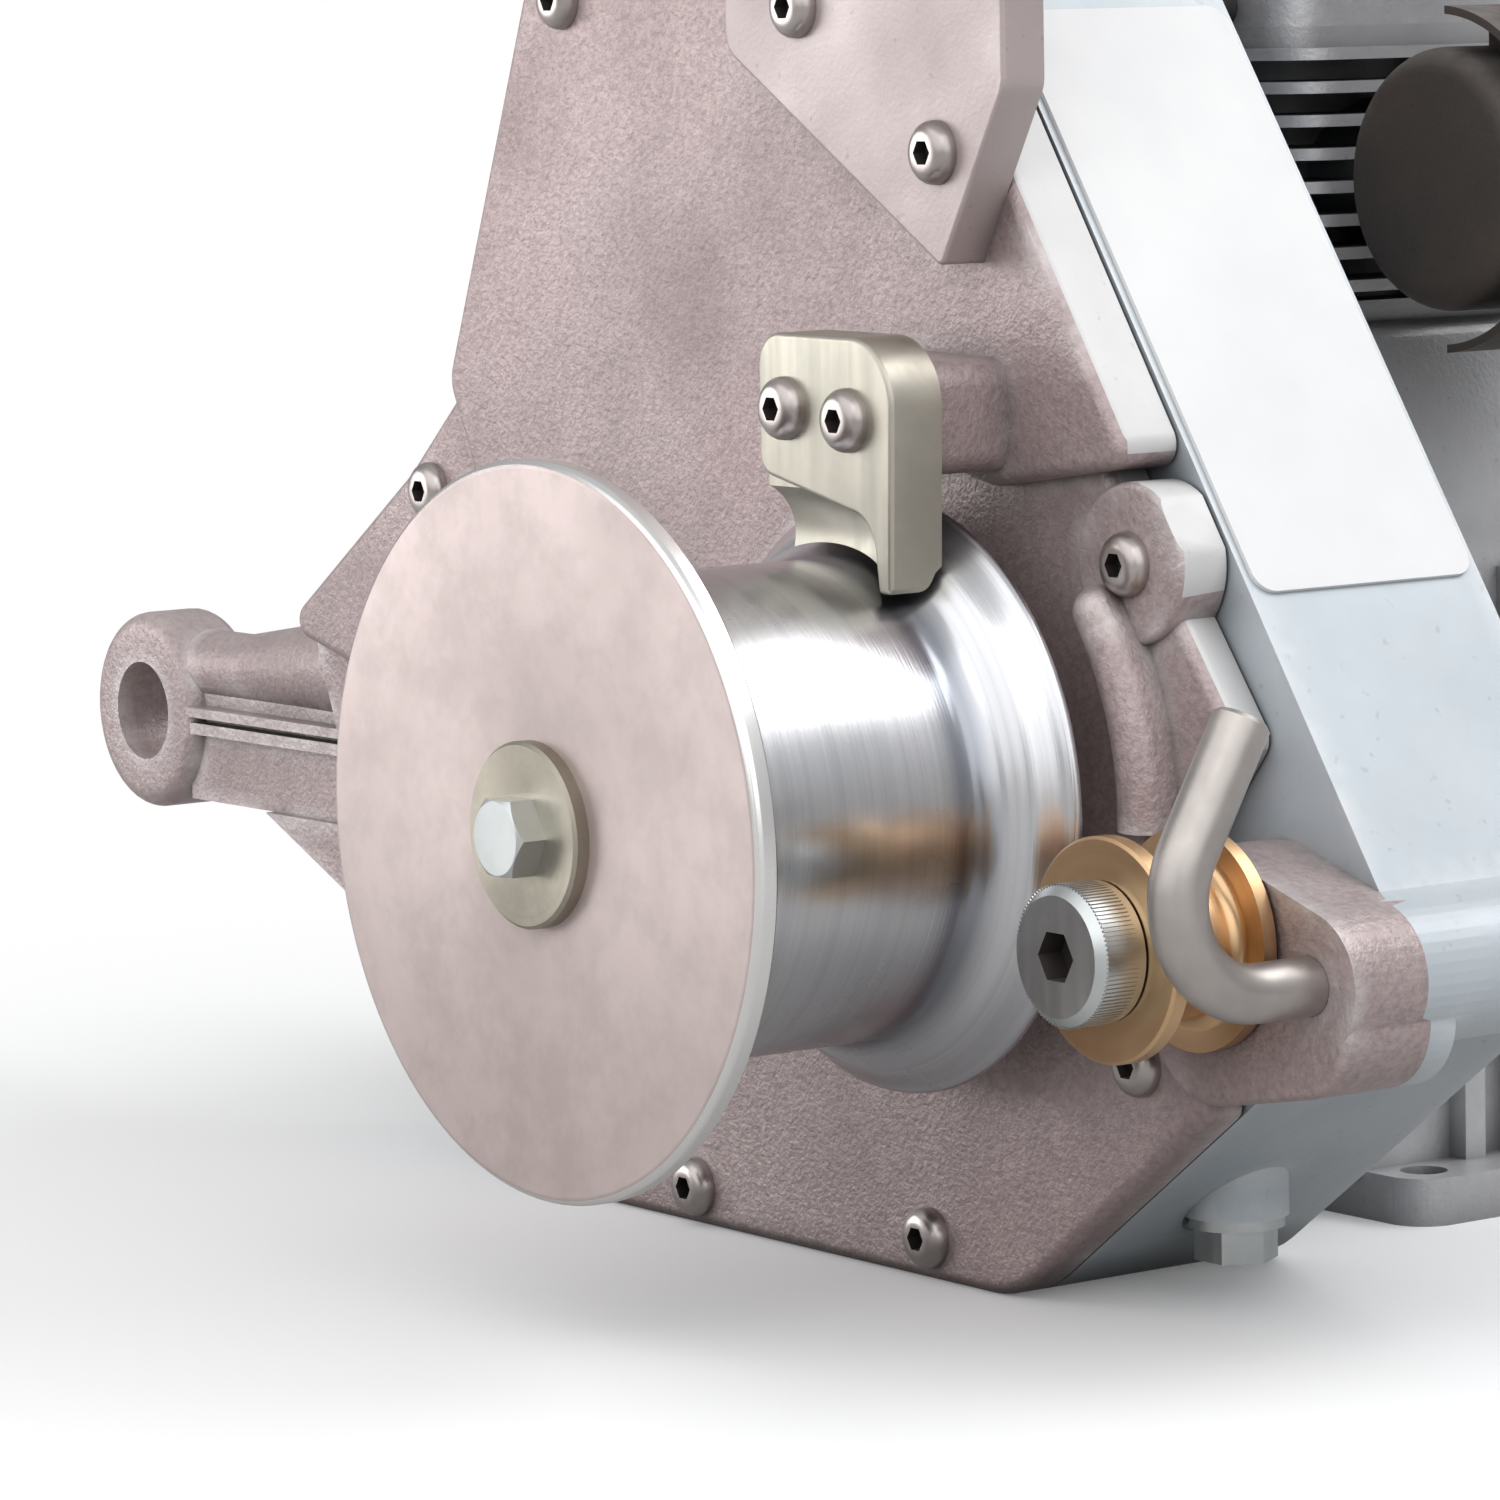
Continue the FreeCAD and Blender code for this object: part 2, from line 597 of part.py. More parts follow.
def make_cover_gasket():
    sheet = prism(inset(COVER_OUTLINE, 0.8), SEAM_Y - GASKET, SEAM_Y)
    sheet = sheet.cut(gear_room(SEAM_Y - 1, SEAM_Y + 1))
    for x, z in SCREW_PLACES + TOP_SCREW_PLACES:
        ring = tube(x, z, M6_HEAD_R + 1.6, M6_HOLE_R, SEAM_Y - GASKET, SEAM_Y)
        sheet = sheet.fuse(ring.common(prism(inset(COVER_OUTLINE, 0.8), SEAM_Y - 1, SEAM_Y + 1)))
        sheet = sheet.cut(rod(x, z, M6_HOLE_R, SEAM_Y - 1, SEAM_Y + 1))
    return sheet.removeSplitter()


def button_screw(x, z, face_y, length):
    """Button-head socket screw along Y with its head in front of face_y."""
    flat_r = M6_HEAD_R * 0.5
    dome = [(0, face_y - M6_HEAD_H), (flat_r, face_y - M6_HEAD_H)]
    for i in range(1, 6):
        a = math.radians(90 * i / 5)
        height = M6_HEAD_H * (0.15 + 0.85 * math.cos(a))
        dome.append((flat_r + (M6_HEAD_R - flat_r) * math.sin(a), face_y - height))
    dome += [(M6_HEAD_R, face_y), (M6_R, face_y), (M6_R, face_y + length), (0, face_y + length)]
    screw = lathe(dome, x, z)
    return screw.cut(hexagon_y(x, z, SOCKET_AF, face_y - M6_HEAD_H - 1, face_y - 0.8))


def make_cover_screws():
    ear = SCREW_PLACES[1]
    screws = []
    for place in SCREW_PLACES:
        face = LOWER_Y - EAR_RISE if place == ear else LOWER_Y
        screws.append(button_screw(place[0], place[1], face, SEAM_Y - face + SCREW_GRIP))
    for x, z in TOP_SCREW_PLACES:
        screws.append(button_screw(x, z, PLATEAU_Y, SEAM_Y - PLATEAU_Y + SCREW_GRIP))
    return compound(screws)


# Rear case
def make_rear_case():
    shell = prism(CASE_OUTLINE, SEAM_Y, REAR_Y)
    shell = shell.cut(gear_room(SEAM_Y - 1, WALL_Y))
    inside = prism(inset(CASE_OUTLINE, 1.0), SEAM_Y, REAR_Y)
    pillars = [rod(x, z, M6_HEAD_R + 2, SEAM_Y, WALL_Y + 1).common(inside)
               for x, z in SCREW_PLACES + TOP_SCREW_PLACES]
    input_end = INPUT_BEARING_Y + INPUT_BEARING[2]
    seats = [rod(0, 0, REAR_BEARING[1] + BEARING_WALL, REAR_BEARING_Y, WALL_Y + 1),
             rod(SECOND_X, SECOND_Z, SECOND_BEARING[1] + BEARING_WALL, SHAFT_REAR_BEARING_Y, WALL_Y + 1),
             rod(FIRST_X, FIRST_Z, FIRST_BEARING[1] + BEARING_WALL, SHAFT_REAR_BEARING_Y, WALL_Y + 1),
             rod(CRANK_X, CRANK_Z, INPUT_BEARING[1] + BEARING_WALL, INPUT_BEARING_Y, input_end)]
    tip = hull_of_two(TIP_BOSS, BOSS_Y, WALL_Y)
    sole = hull_of_two(TIP_SOLE, BOSS_Y, SEAM_Y + CASE_WALL)
    sole = soften(sole, 1.5, lambda e: at_y(e, BOSS_Y))
    case = join([shell, tip, sole] + pillars + seats + anchor_arm())
    screw_end = SEAM_Y + SCREW_GRIP + 2
    holes = [rod(x, z, M6_HOLE_R, SEAM_Y - 1, screw_end) for x, z in SCREW_PLACES + TOP_SCREW_PLACES]
    shaft_front = SHAFT_REAR_BEARING_Y - 1
    shaft_back = SHAFT_REAR_BEARING_Y + SECOND_BEARING[2]
    holes.append(rod(0, 0, REAR_BEARING[1] + FIT, REAR_BEARING_Y - 1, REAR_BEARING_Y + REAR_BEARING[2]))
    holes.append(rod(SECOND_X, SECOND_Z, SECOND_BEARING[1] + FIT, shaft_front, shaft_back))
    holes.append(rod(FIRST_X, FIRST_Z, FIRST_BEARING[1] + FIT, shaft_front, shaft_back))
    holes.append(rod(CRANK_X, CRANK_Z, INPUT_BEARING[1] + FIT, INPUT_BEARING_Y - 1, input_end + 1))
    holes.append(rod(ROLLER_X, ROLLER_Z, SHOULDER_THREAD_R + FIT, BOSS_Y - 1, BOSS_Y + SHOULDER_THREAD + 2))
    holes.append(rod(HOOK_X, HOOK_Z, HOOK_ROD_R + FIT, BOSS_Y - 1, BOSS_Y + HOOK_SEAT + 1))
    for x, z in BELL_SCREW_PLACES:
        holes.append(rod(x, z, M6_HOLE_R, REAR_Y - CASE_WALL - 1, REAR_Y + 1))
    holes.append(rod_z(DRAIN_X, DRAIN_Y, DRAIN_R + FIT, DRAIN_FACE_Z - 1, DRAIN_FACE_Z + DRAIN_LENGTH + 6))
    holes.append(rod_z(FILL_X, FILL_Y, DRAIN_R + FIT, CASE_TOP - DRAIN_LENGTH - 2, CASE_TOP + 1))
    flat = rod_z(DRAIN_X, DRAIN_Y, DRAIN_PAD_R, -AXIS_Z - 1, DRAIN_FACE_Z)
    pad = rod_z(DRAIN_X, DRAIN_Y, DRAIN_PAD_R, DRAIN_FACE_Z, DRAIN_FACE_Z + DRAIN_LENGTH)
    return case.fuse(pad).cut(join(holes)).cut(flat).removeSplitter()


def anchor_arm():
    """Round-topped arm with two ledges, a web, a gusset and an eye for the anchor sling."""
    y0 = ARM_Y - ARM_T / 2
    y1 = ARM_Y + ARM_T / 2
    eye_edge = EYE_X + EYE_R - 1
    root = ARM_ROOT_X + 16
    bar = rod_x(ARM_Y, 0, ARM_BAR_R, EYE_X + EYE_BORE_R + 4, root)
    flare_start = V(ARM_FLARE_X, ARM_Y, AXIS_Z)
    flare_run = V(ARM_ROOT_X + 4 - ARM_FLARE_X, 0, ARM_FLARE_RISE)
    flare = Part.makeCone(ARM_BAR_R - 0.5, ARM_FLARE_R, flare_run.Length, flare_start, flare_run)
    upper_ledge = box(eye_edge, root, y0 - 1.5, y1 + 1.5, -9.6, -7.6)
    lower_ledge = box(eye_edge, root, y0 - 0.5, y1 + 0.5, -13.4, -11.0)
    web = box(EYE_X + EYE_BORE_R + 4, root, y0 + 3, y1 - 3, ARM_FOOT_Z, -2)
    gusset = prism([(ARM_FOOT_X, ARM_FOOT_Z, 0), (HEEL_X + 20, ARM_FOOT_Z, 0), (HEEL_X + 4, HEEL_Z + 2, 0),
                    (HEEL_X, HEEL_Z, 0)], y0 + 1, y1 - 1)
    eye = rod(EYE_X, EYE_Z, EYE_R, y0, y1)
    eye = soften(eye, 4.0, lambda e: at_y(e, y0) or at_y(e, y1))
    bore = rod(EYE_X, EYE_Z, EYE_BORE_R, y0 - 4, y1 + 4)
    return [join([bar, flare, upper_ledge, lower_ledge, web, gusset, eye]).cut(bore)]


# Drum and its shaft
def drum_profile(clearance):
    """Outer line of barrel, fillet and root flange, grown by clearance, front to back."""
    end_deg = 180 - DRUM_FILLET_DEG
    arc = arc_profile(DRUM_R + DRUM_FILLET_R, FILLET_Y, DRUM_FILLET_R - clearance, 180, end_deg, 8)
    front = [(DRUM_R + clearance, DISC_BACK_Y)]
    lip = arc_profile(FLANGE_R - 1.6 + clearance, RIM_Y + 1.6, 1.6, -60, 0, 4)
    return front + arc + lip


def make_drum():
    outer = drum_profile(0.0)
    inner = [(FLANGE_R, FLANGE_BACK_Y), (DRUM_CAVITY_R, FLANGE_BACK_Y), (DRUM_CAVITY_R, CAVITY_Y),
             (SHAFT_SEAT_R + FIT, CAVITY_Y), (SHAFT_SEAT_R + FIT, DISC_BACK_Y)]
    drum = lathe(outer + inner, 0, 0)
    return drum.cut(key_block(FIT))


def key_block(clearance):
    top = SHAFT_SEAT_R + KEY_H / 2 + clearance
    low = SHAFT_SEAT_R - KEY_H / 2 - clearance
    half = KEY_W / 2 + clearance
    front = DISC_BACK_Y + KEY_INSET - clearance
    back = CAVITY_Y - KEY_INSET / 2 + clearance
    return box(-half, half, front, back, low, top)


def make_drum_disc():
    face = [(M8_R + 0.3, DISC_FRONT_Y)]
    rim = arc_profile(DISC_R - DISC_ROUND, DISC_FRONT_Y + DISC_ROUND, DISC_ROUND, -90, 0, 8)
    back = [(DISC_R, DISC_BACK_Y - 0.8), (DISC_R - 0.8, DISC_BACK_Y), (M8_R + 0.3, DISC_BACK_Y)]
    return lathe(face + rim + back, 0, 0)


def make_drum_washer():
    y = DISC_FRONT_Y
    edge = 0.6
    return lathe([(M8_R + 0.3, y), (M8_R + 0.3, y - WASHER_T), (WASHER_R - edge, y - WASHER_T),
                  (WASHER_R, y - WASHER_T + edge), (WASHER_R, y)], 0, 0)


def make_drum_bolt():
    seat = DISC_FRONT_Y - WASHER_T
    head = hexagon_y(0, 0, M8_AF, seat - M8_HEAD, seat)
    corner_r = M8_AF / 2 + 1.2
    cone = lathe([(0, seat - M8_HEAD), (M8_AF / 2 - 0.2, seat - M8_HEAD), (corner_r, seat - M8_HEAD + 0.9),
                  (corner_r, seat), (0, seat)], 0, 0)
    return join([head.common(cone), rod(0, 0, M8_R, seat, DISC_BACK_Y + 22)])


def make_drum_shaft():
    steps = [(SHAFT_SEAT_R, DISC_BACK_Y, CAVITY_Y), (SHAFT_R - FIT, CAVITY_Y, BULL_Y - SHAFT_COLLAR),
             (SHAFT_R + 3, BULL_Y - SHAFT_COLLAR, BULL_Y), (SHAFT_GEAR_R, BULL_Y, BULL_Y + BULL_W),
             (SHAFT_GEAR_R - 1, BULL_Y + BULL_W, REAR_BEARING_Y),
             (SHAFT_REAR_R - FIT, REAR_BEARING_Y, WALL_Y + 2)]
    shaft = join([rod(0, 0, r, y0, y1) for r, y0, y1 in steps])
    return shaft.cut(rod(0, 0, M8_R + 0.05, DISC_BACK_Y - 1, DISC_BACK_Y + 26)).cut(key_block(0.0))


def make_bull_gear():
    wheel = gear(BULL_MODULE, BULL_TEETH, 0.0, 0, 0, BULL_Y, BULL_Y + BULL_W)
    back = BULL_Y + BULL_W
    rim_r = BULL_MODULE * BULL_TEETH / 2 - BULL_RIM
    hub_r = SHAFT_GEAR_R + BULL_RIM
    web = tube(0, 0, rim_r, hub_r, BULL_Y - 1, BULL_Y + BULL_W / 4)
    web_back = tube(0, 0, rim_r, hub_r, back - BULL_W / 4, back + 1)
    return wheel.cut(web).cut(web_back).cut(rod(0, 0, SHAFT_GEAR_R + FIT, BULL_Y - 1, BULL_Y + BULL_W + 1))


# Bearings, seal and the two intermediate shafts
def bearing(size, x, z, y0):
    r_in, r_out, width = size
    wall = (r_out - r_in) * 0.3
    ring = tube(x, z, r_out, r_in, y0, y0 + width)
    groove = tube(x, z, r_out - wall, r_in + wall, y0 - 1, y0 + 0.8)
    groove_back = tube(x, z, r_out - wall, r_in + wall, y0 + width - 0.8, y0 + width + 1)
    return ring.cut(groove).cut(groove_back)


def make_shaft_seal():
    y0 = FRONT_BEARING_Y - SEAL_W
    return tube(0, 0, SEAL_R, SHAFT_R + FIT, y0, y0 + SEAL_W - 0.5)


def make_gear_bearings():
    return compound([bearing(SECOND_BEARING, SECOND_X, SECOND_Z, SHAFT_BEARING_Y),
                     bearing(SECOND_BEARING, SECOND_X, SECOND_Z, SHAFT_REAR_BEARING_Y),
                     bearing(FIRST_BEARING, FIRST_X, FIRST_Z, SHAFT_BEARING_Y),
                     bearing(FIRST_BEARING, FIRST_X, FIRST_Z, SHAFT_REAR_BEARING_Y)])


def pinion_shaft(size, x, z, module, phase, pinion_y, pinion_w, seat_r, seat_end):
    """Shaft with a cut pinion, journals for its two bearings and a seat for its wheel."""
    journal = size[0] - FIT
    parts = [rod(x, z, journal, SHAFT_BEARING_Y + 0.5, SHAFT_REAR_BEARING_Y + size[2] - 0.5),
             gear(module, PINION_TEETH, phase, x, z, pinion_y, pinion_y + pinion_w),
             rod(x, z, seat_r, SHAFT_BEARING_Y + size[2] + FACE_GAP, seat_end)]
    return join(parts)


def make_second_shaft():
    return pinion_shaft(SECOND_BEARING, SECOND_X, SECOND_Z, BULL_MODULE, SECOND_PINION_PHASE,
                        BULL_Y + FACE_GAP, BULL_W + 1, SECOND_SEAT_R, SECOND_Y + SECOND_W)


def make_second_gear():
    wheel = gear(SECOND_MODULE, SECOND_TEETH, 0.0, SECOND_X, SECOND_Z, SECOND_Y, SECOND_Y + SECOND_W)
    return wheel.cut(rod(SECOND_X, SECOND_Z, SECOND_SEAT_R + FIT, SECOND_Y - 1, SECOND_Y + SECOND_W + 1))


def make_first_shaft():
    return pinion_shaft(FIRST_BEARING, FIRST_X, FIRST_Z, SECOND_MODULE, FIRST_PINION_PHASE,
                        SECOND_Y - 1, SECOND_W + 2, FIRST_SEAT_R, FIRST_Y + FIRST_W)


def make_first_gear():
    wheel = gear(FIRST_MODULE, FIRST_TEETH, 0.0, FIRST_X, FIRST_Z, FIRST_Y, FIRST_Y + FIRST_W)
    return wheel.cut(rod(FIRST_X, FIRST_Z, FIRST_SEAT_R + FIT, FIRST_Y - 1, FIRST_Y + FIRST_W + 1))


# Input shaft and centrifugal clutch
def make_input_pinion():
    front = FIRST_Y - 0.5
    back = FIRST_Y + FIRST_W + 0.5
    toothed = gear(FIRST_MODULE, PINION_TEETH, INPUT_PINION_PHASE, CRANK_X, CRANK_Z, front, back)
    neck = rod(CRANK_X, CRANK_Z, 5.5, FIRST_Y, INPUT_BEARING_Y)
    journal = rod(CRANK_X, CRANK_Z, INPUT_BEARING[0] - FIT, INPUT_BEARING_Y, CLUTCH_Y + 9)
    return join([toothed, neck, journal])


def make_clutch_drum():
    y0 = CLUTCH_Y
    cup = rod(CRANK_X, CRANK_Z, CLUTCH_R, y0, y0 + CLUTCH_W)
    cup = cup.cut(rod(CRANK_X, CRANK_Z, CLUTCH_R - CLUTCH_WALL, y0 + CLUTCH_WALL, y0 + CLUTCH_W + 1))
    hub = rod(CRANK_X, CRANK_Z, INPUT_BEARING[0] + 5, y0, y0 + 8)
    return join([cup, hub]).cut(rod(CRANK_X, CRANK_Z, INPUT_BEARING[0], y0 - 1, y0 + 10))


SHOE_Y = CLUTCH_Y + 10
SHOE_W = 11.0
SHOE_OUT = CLUTCH_R - CLUTCH_WALL - 1.0
HUB_R = 15.0


def make_clutch_hub():
    return tube(CRANK_X, CRANK_Z, HUB_R, CRANK_R, SHOE_Y, SHOE_Y + SHOE_W)


def spring_ring(gap):
    y = SHOE_Y + SHOE_W / 2
    return tube(CRANK_X, CRANK_Z, SHOE_OUT - 2 + gap, SHOE_OUT - 4.5 - gap, y - 1.2 - gap, y + 1.2 + gap)


def make_clutch_shoes():
    ring = tube(CRANK_X, CRANK_Z, SHOE_OUT, HUB_R + FIT, SHOE_Y, SHOE_Y + SHOE_W)
    middle = SHOE_Y + SHOE_W / 2
    back = SHOE_Y + SHOE_W + 1
    groove = tube(CRANK_X, CRANK_Z, SHOE_OUT + 1, SHOE_OUT - 4.8, middle - 1.5, middle + 1.5)
    split = box(CRANK_X - 2, CRANK_X + 2, SHOE_Y - 1, back, CRANK_Z - CLUTCH_R, CRANK_Z + CLUTCH_R)
    return ring.cut(groove).cut(split)


def make_clutch_housing():
    y0 = BELL_Y
    y1 = BELL_Y + BELL_DEPTH
    flange_r = BELL_R + BELL_FLANGE
    body = join([tube(CRANK_X, CRANK_Z, BELL_R, BELL_R - BELL_WALL, y0, y1),
                 tube(CRANK_X, CRANK_Z, flange_r, BELL_R - BELL_WALL, y0, y0 + 6),
                 tube(CRANK_X, CRANK_Z, flange_r, BELL_R - BELL_WALL, y1 - 6, y1)])
    for i in range(8):
        slot = box(-4, 4, y0 + 11, y1 - 11, BELL_R - 12, BELL_R + 4)
        slot.rotate(V(0, 0, AXIS_Z), V(0, 1, 0), 22.5 + 45 * i)
        slot.translate(V(CRANK_X, 0, CRANK_Z))
        body = body.cut(slot)
    for x, z in BELL_SCREW_PLACES:
        body = body.cut(rod(x, z, M6_HOLE_R, y0 - 1, y1 + 1))
    return body


def hex_screw(x, z, face_y, length, into):
    """Hex screw along Y; into is +1 when it drives towards +Y."""
    y_head = face_y - into * M6_HEAD_SIDE
    head = hexagon_y(x, z, M6_AF, min(face_y, y_head), max(face_y, y_head))
    end = face_y + into * length
    return join([head, rod(x, z, M6_R, min(face_y, end), max(face_y, end))])


def make_housing_screws():
    y0 = BELL_Y + 6
    y1 = BELL_Y + BELL_DEPTH - 6
    screws = []
    for x, z in BELL_SCREW_PLACES:
        screws.append(hex_screw(x, z, y0, 11, -1))
        screws.append(hex_screw(x, z, y1, 16, 1))
    return compound(screws)


# Rope guide, roller, hook and plugs
def make_rope_guide():
    plate = front_rounded(GUIDE_OUTLINE, GUIDE_FRONT_Y, GUIDE_BACK_Y, 0.9)
    ramp = prism(RAMP_OUTLINE, GUIDE_FRONT_Y + 1, GUIDE_BACK_Y)
    scoop_y = GUIDE_FRONT_Y - RAMP_SCOOP_LEAD
    ramp = ramp.cut(rod_x(scoop_y, RAMP_SCOOP_Z, RAMP_SCOOP_R, -DISC_R, DISC_R))
    guide = join([plate, ramp])
    inner = [(FLANGE_R + GUIDE_CLEAR, FLANGE_BACK_Y), (0, FLANGE_BACK_Y), (0, DISC_BACK_Y)]
    keep_off = lathe(drum_profile(GUIDE_CLEAR) + inner, 0, 0)
    guide = guide.cut(keep_off)
    for x, z in GUIDE_SCREWS:
        guide = guide.cut(rod(x, z, M6_HOLE_R, GUIDE_FRONT_Y - 1, GUIDE_BACK_Y + 1))
    return guide


def make_guide_screws():
    return compound([button_screw(x, z, GUIDE_FRONT_Y, GUIDE_T + GUIDE_STANDOFF) for x, z in GUIDE_SCREWS])


def make_rope_roller():
    y0 = ROLLER_FRONT_Y
    y1 = ROLLER_BACK_Y
    bore = SHOULDER_R + FIT
    neck = 2.5
    profile = [(bore, y0), (ROLLER_R - 0.5, y0), (ROLLER_R, y0 + 0.5), (ROLLER_R, y0 + ROLLER_FLANGE)]
    profile += [(ROLLER_CORE_R + neck, y0 + ROLLER_FLANGE)]
    profile += arc_profile(ROLLER_CORE_R + neck, y0 + ROLLER_FLANGE + neck, neck, -90, -180, 5)
    profile += arc_profile(ROLLER_CORE_R + neck, y1 - ROLLER_FLANGE - neck, neck, 180, 90, 5)
    profile += [(ROLLER_R, y1 - ROLLER_FLANGE), (ROLLER_R, y1 - 0.5), (ROLLER_R - 0.5, y1), (bore, y1)]
    return lathe(profile, ROLLER_X, ROLLER_Z)


def make_roller_bolt():
    y0 = ROLLER_FRONT_Y - FACE_GAP
    head = y0 - SHOULDER_HEAD_H
    end = BOSS_Y + SHOULDER_THREAD
    chamfer = 1.6
    bolt = lathe([(0, head), (SHOULDER_HEAD_R - chamfer, head), (SHOULDER_HEAD_R, head + chamfer),
                  (SHOULDER_HEAD_R, y0), (SHOULDER_R, y0), (SHOULDER_R, BOSS_Y), (SHOULDER_THREAD_R, BOSS_Y),
                  (SHOULDER_THREAD_R, end), (0, end)], ROLLER_X, ROLLER_Z)
    return bolt.cut(hexagon_y(ROLLER_X, ROLLER_Z, SHOULDER_AF, head - 1, head + 5))


def make_pigtail_hook():
    """Bent rod: out of the boss, round a loop and up to a free end."""
    x = HOOK_X
    loop_y = ROLLER_FRONT_Y + ROLLER_W / 2
    loop_z = HOOK_Z + HOOK_BEND_R

    def on_loop(deg):
        a = math.radians(deg)
        return V(x, loop_y + HOOK_BEND_R * math.cos(a), loop_z + HOOK_BEND_R * math.sin(a) + AXIS_Z)

    root = V(x, BOSS_Y + HOOK_SEAT, HOOK_Z + AXIS_Z)
    bottom = on_loop(-90)
    leave = on_loop(150)
    tail_dir = V(0, 0.5, math.sqrt(3) / 2)
    tip = leave + tail_dir * HOOK_TAIL
    bend = Part.Arc(bottom, on_loop(-150), leave)
    runs = [Part.LineSegment(root, bottom), bend, Part.LineSegment(leave, tip)]
    path = Part.Wire([run.toShape() for run in runs])
    ring = Part.Wire([Part.Circle(root, V(0, 1, 0), HOOK_ROD_R).toShape()])
    hook = path.makePipeShell([ring], True, False)
    end = [e for e in hook.Edges if abs(e.CenterOfMass.distanceToPoint(tip)) < 0.5 and len(e.Vertexes) == 1]
    return hook.makeChamfer(0.8, end)


def plug(x, y, z, into, head_h):
    """Hex plug along Z with its seat at z; into is +1 when it drives upwards."""
    r = DRAIN_AF / math.sqrt(3)
    pts = [V(*polar(x, y, r, 60 * i), z + AXIS_Z) for i in range(7)]
    head = Part.Face(Part.makePolygon(pts)).extrude(V(0, 0, -into * head_h))
    end = z + into * DRAIN_LENGTH
    collar = rod_z(x, y, DRAIN_PAD_R - 0.8, min(z, z - into * 2), max(z, z - into * 2))
    return join([head, collar, rod_z(x, y, DRAIN_R, min(z, end), max(z, end))])


def make_drain_plug():
    return plug(DRAIN_X, DRAIN_Y, DRAIN_FACE_Z, 1, DRAIN_HEAD)


def make_fill_plug():
    return plug(FILL_X, FILL_Y, CASE_TOP, -1, DRAIN_HEAD)


def make_label_plate():
    """Blank plate on the slanted load-side wall."""
    dx = TOP_RIGHT_X - TIP_X
    dz = CASE_TOP - TIP_Z
    run = math.hypot(dx, dz)
    ux, uz = dx / run, dz / run
    nx, nz = uz, -ux
    start = LABEL_START
    pts = []
    for along, out in ((start, 0), (start + LABEL_L, 0), (start + LABEL_L, LABEL_T), (start, LABEL_T)):
        pts.append((TIP_X + ux * along + nx * out, TIP_Z + uz * along + nz * out, 0))
    plate = prism(pts, -LABEL_H / 2, LABEL_H / 2)
    corners = [e for e in plate.Edges if abs(e.Length - LABEL_T) < 1e-4]
    return plate.makeFillet(4.0, corners)


# Engine
def make_crankcase():
    y0 = BLOCK_Y
    y1 = BLOCK_Y + BLOCK_D
    half = BLOCK_W / 2
    low = -AXIS_Z + FOOT_T - 1
    shoulder = CRANK_Z + 30
    top_half = BLOCK_W / 2 - 16
    body = prism([(CRANK_X - half, low, 0), (CRANK_X + half, low, 0), (CRANK_X + half, shoulder, 16),
                  (CRANK_X + top_half, BLOCK_BASE_Z, 6), (CRANK_X - top_half, BLOCK_BASE_Z, 6),
                  (CRANK_X - half, shoulder, 16)], y0, y1)
    body = soften(body, 4.0, lambda e: at_y(e, y1))
    face = rod(CRANK_X, CRANK_Z, BELL_R + BELL_FLANGE, y0, y0 + 5.5)
    foot_y = y0 + FOOT_INSET
    foot_half = FOOT_W / 2
    foot = box(CRANK_X - foot_half, CRANK_X + foot_half, foot_y, foot_y + FOOT_D, -AXIS_Z, -AXIS_Z + FOOT_T)
    foot = soften(foot, 8.0, lambda e: abs(e.Length - FOOT_T) < 1e-4)
    ribs = []
    for side in (-1, 1):
        x = CRANK_X + side * (half + 1.5)
        for y in (y0 + 24, y0 + 37, y0 + 50):
            ribs.append(box(x - 3, x + 3, y, y + 5, -AXIS_Z + FOOT_T, CRANK_Z + 20))
    case = join([body, face, foot] + ribs)
    cuts = [rod(CRANK_X, CRANK_Z, 40, y0 + 10, y1 - 10), rod(CRANK_X, CRANK_Z, CRANK_R + FIT, y0 - 1, y1 + 1)]
    mid_y = foot_y + FOOT_D / 2
    for sx in (-1, 1):
        for sy in (-1, 1):
            x = CRANK_X + sx * FOOT_HOLE_X / 2
            y = mid_y + sy * FOOT_HOLE_Y / 2
            cuts.append(rod_z(x, y, FOOT_HOLE_R, -AXIS_Z - 1, -AXIS_Z + FOOT_T + 1))
    for x, z in BELL_SCREW_PLACES:
        cuts.append(rod(x, z, M6_HOLE_R, y0 - 1, y0 + 12))
    return case.cut(join(cuts))


def make_crankshaft():
    y0 = SHOE_Y
    y1 = STARTER_Y - 6
    front = BLOCK_Y + WEB_START
    back = front + WEB_STEP
    web = rod(CRANK_X, CRANK_Z, WEB_R, front, front + WEB_T)
    web_back = rod(CRANK_X, CRANK_Z, WEB_R, back, back + WEB_T)
    return join([rod(CRANK_X, CRANK_Z, CRANK_R - 0.01, y0, y1), web, web_back])


def make_flywheel():
    y0 = SHROUD_Y + 4
    disc = tube(CRANK_X, CRANK_Z, FLYWHEEL_R, CRANK_R, y0, y0 + FLYWHEEL_T)
    blades = []
    for i in range(FAN_BLADES):
        root_y = y0 + FLYWHEEL_T - 1
        blade = box(FLYWHEEL_R - 24, FLYWHEEL_R - 1.5, root_y, root_y + 1 + FAN_H, -1.2, 1.2)
        blade.rotate(V(FLYWHEEL_R - 12, 0, AXIS_Z), V(0, 1, 0), 28)
        blade.rotate(V(0, 0, AXIS_Z), V(0, 1, 0), 360.0 * i / FAN_BLADES)
        blade.translate(V(CRANK_X, 0, CRANK_Z))
        blades.append(blade)
    keep = rod(CRANK_X, CRANK_Z, FLYWHEEL_R, y0, y0 + FLYWHEEL_T + FAN_H)
    return join([disc] + blades).common(keep)


def engine_mid_y():
    return BLOCK_Y + BLOCK_D / 2


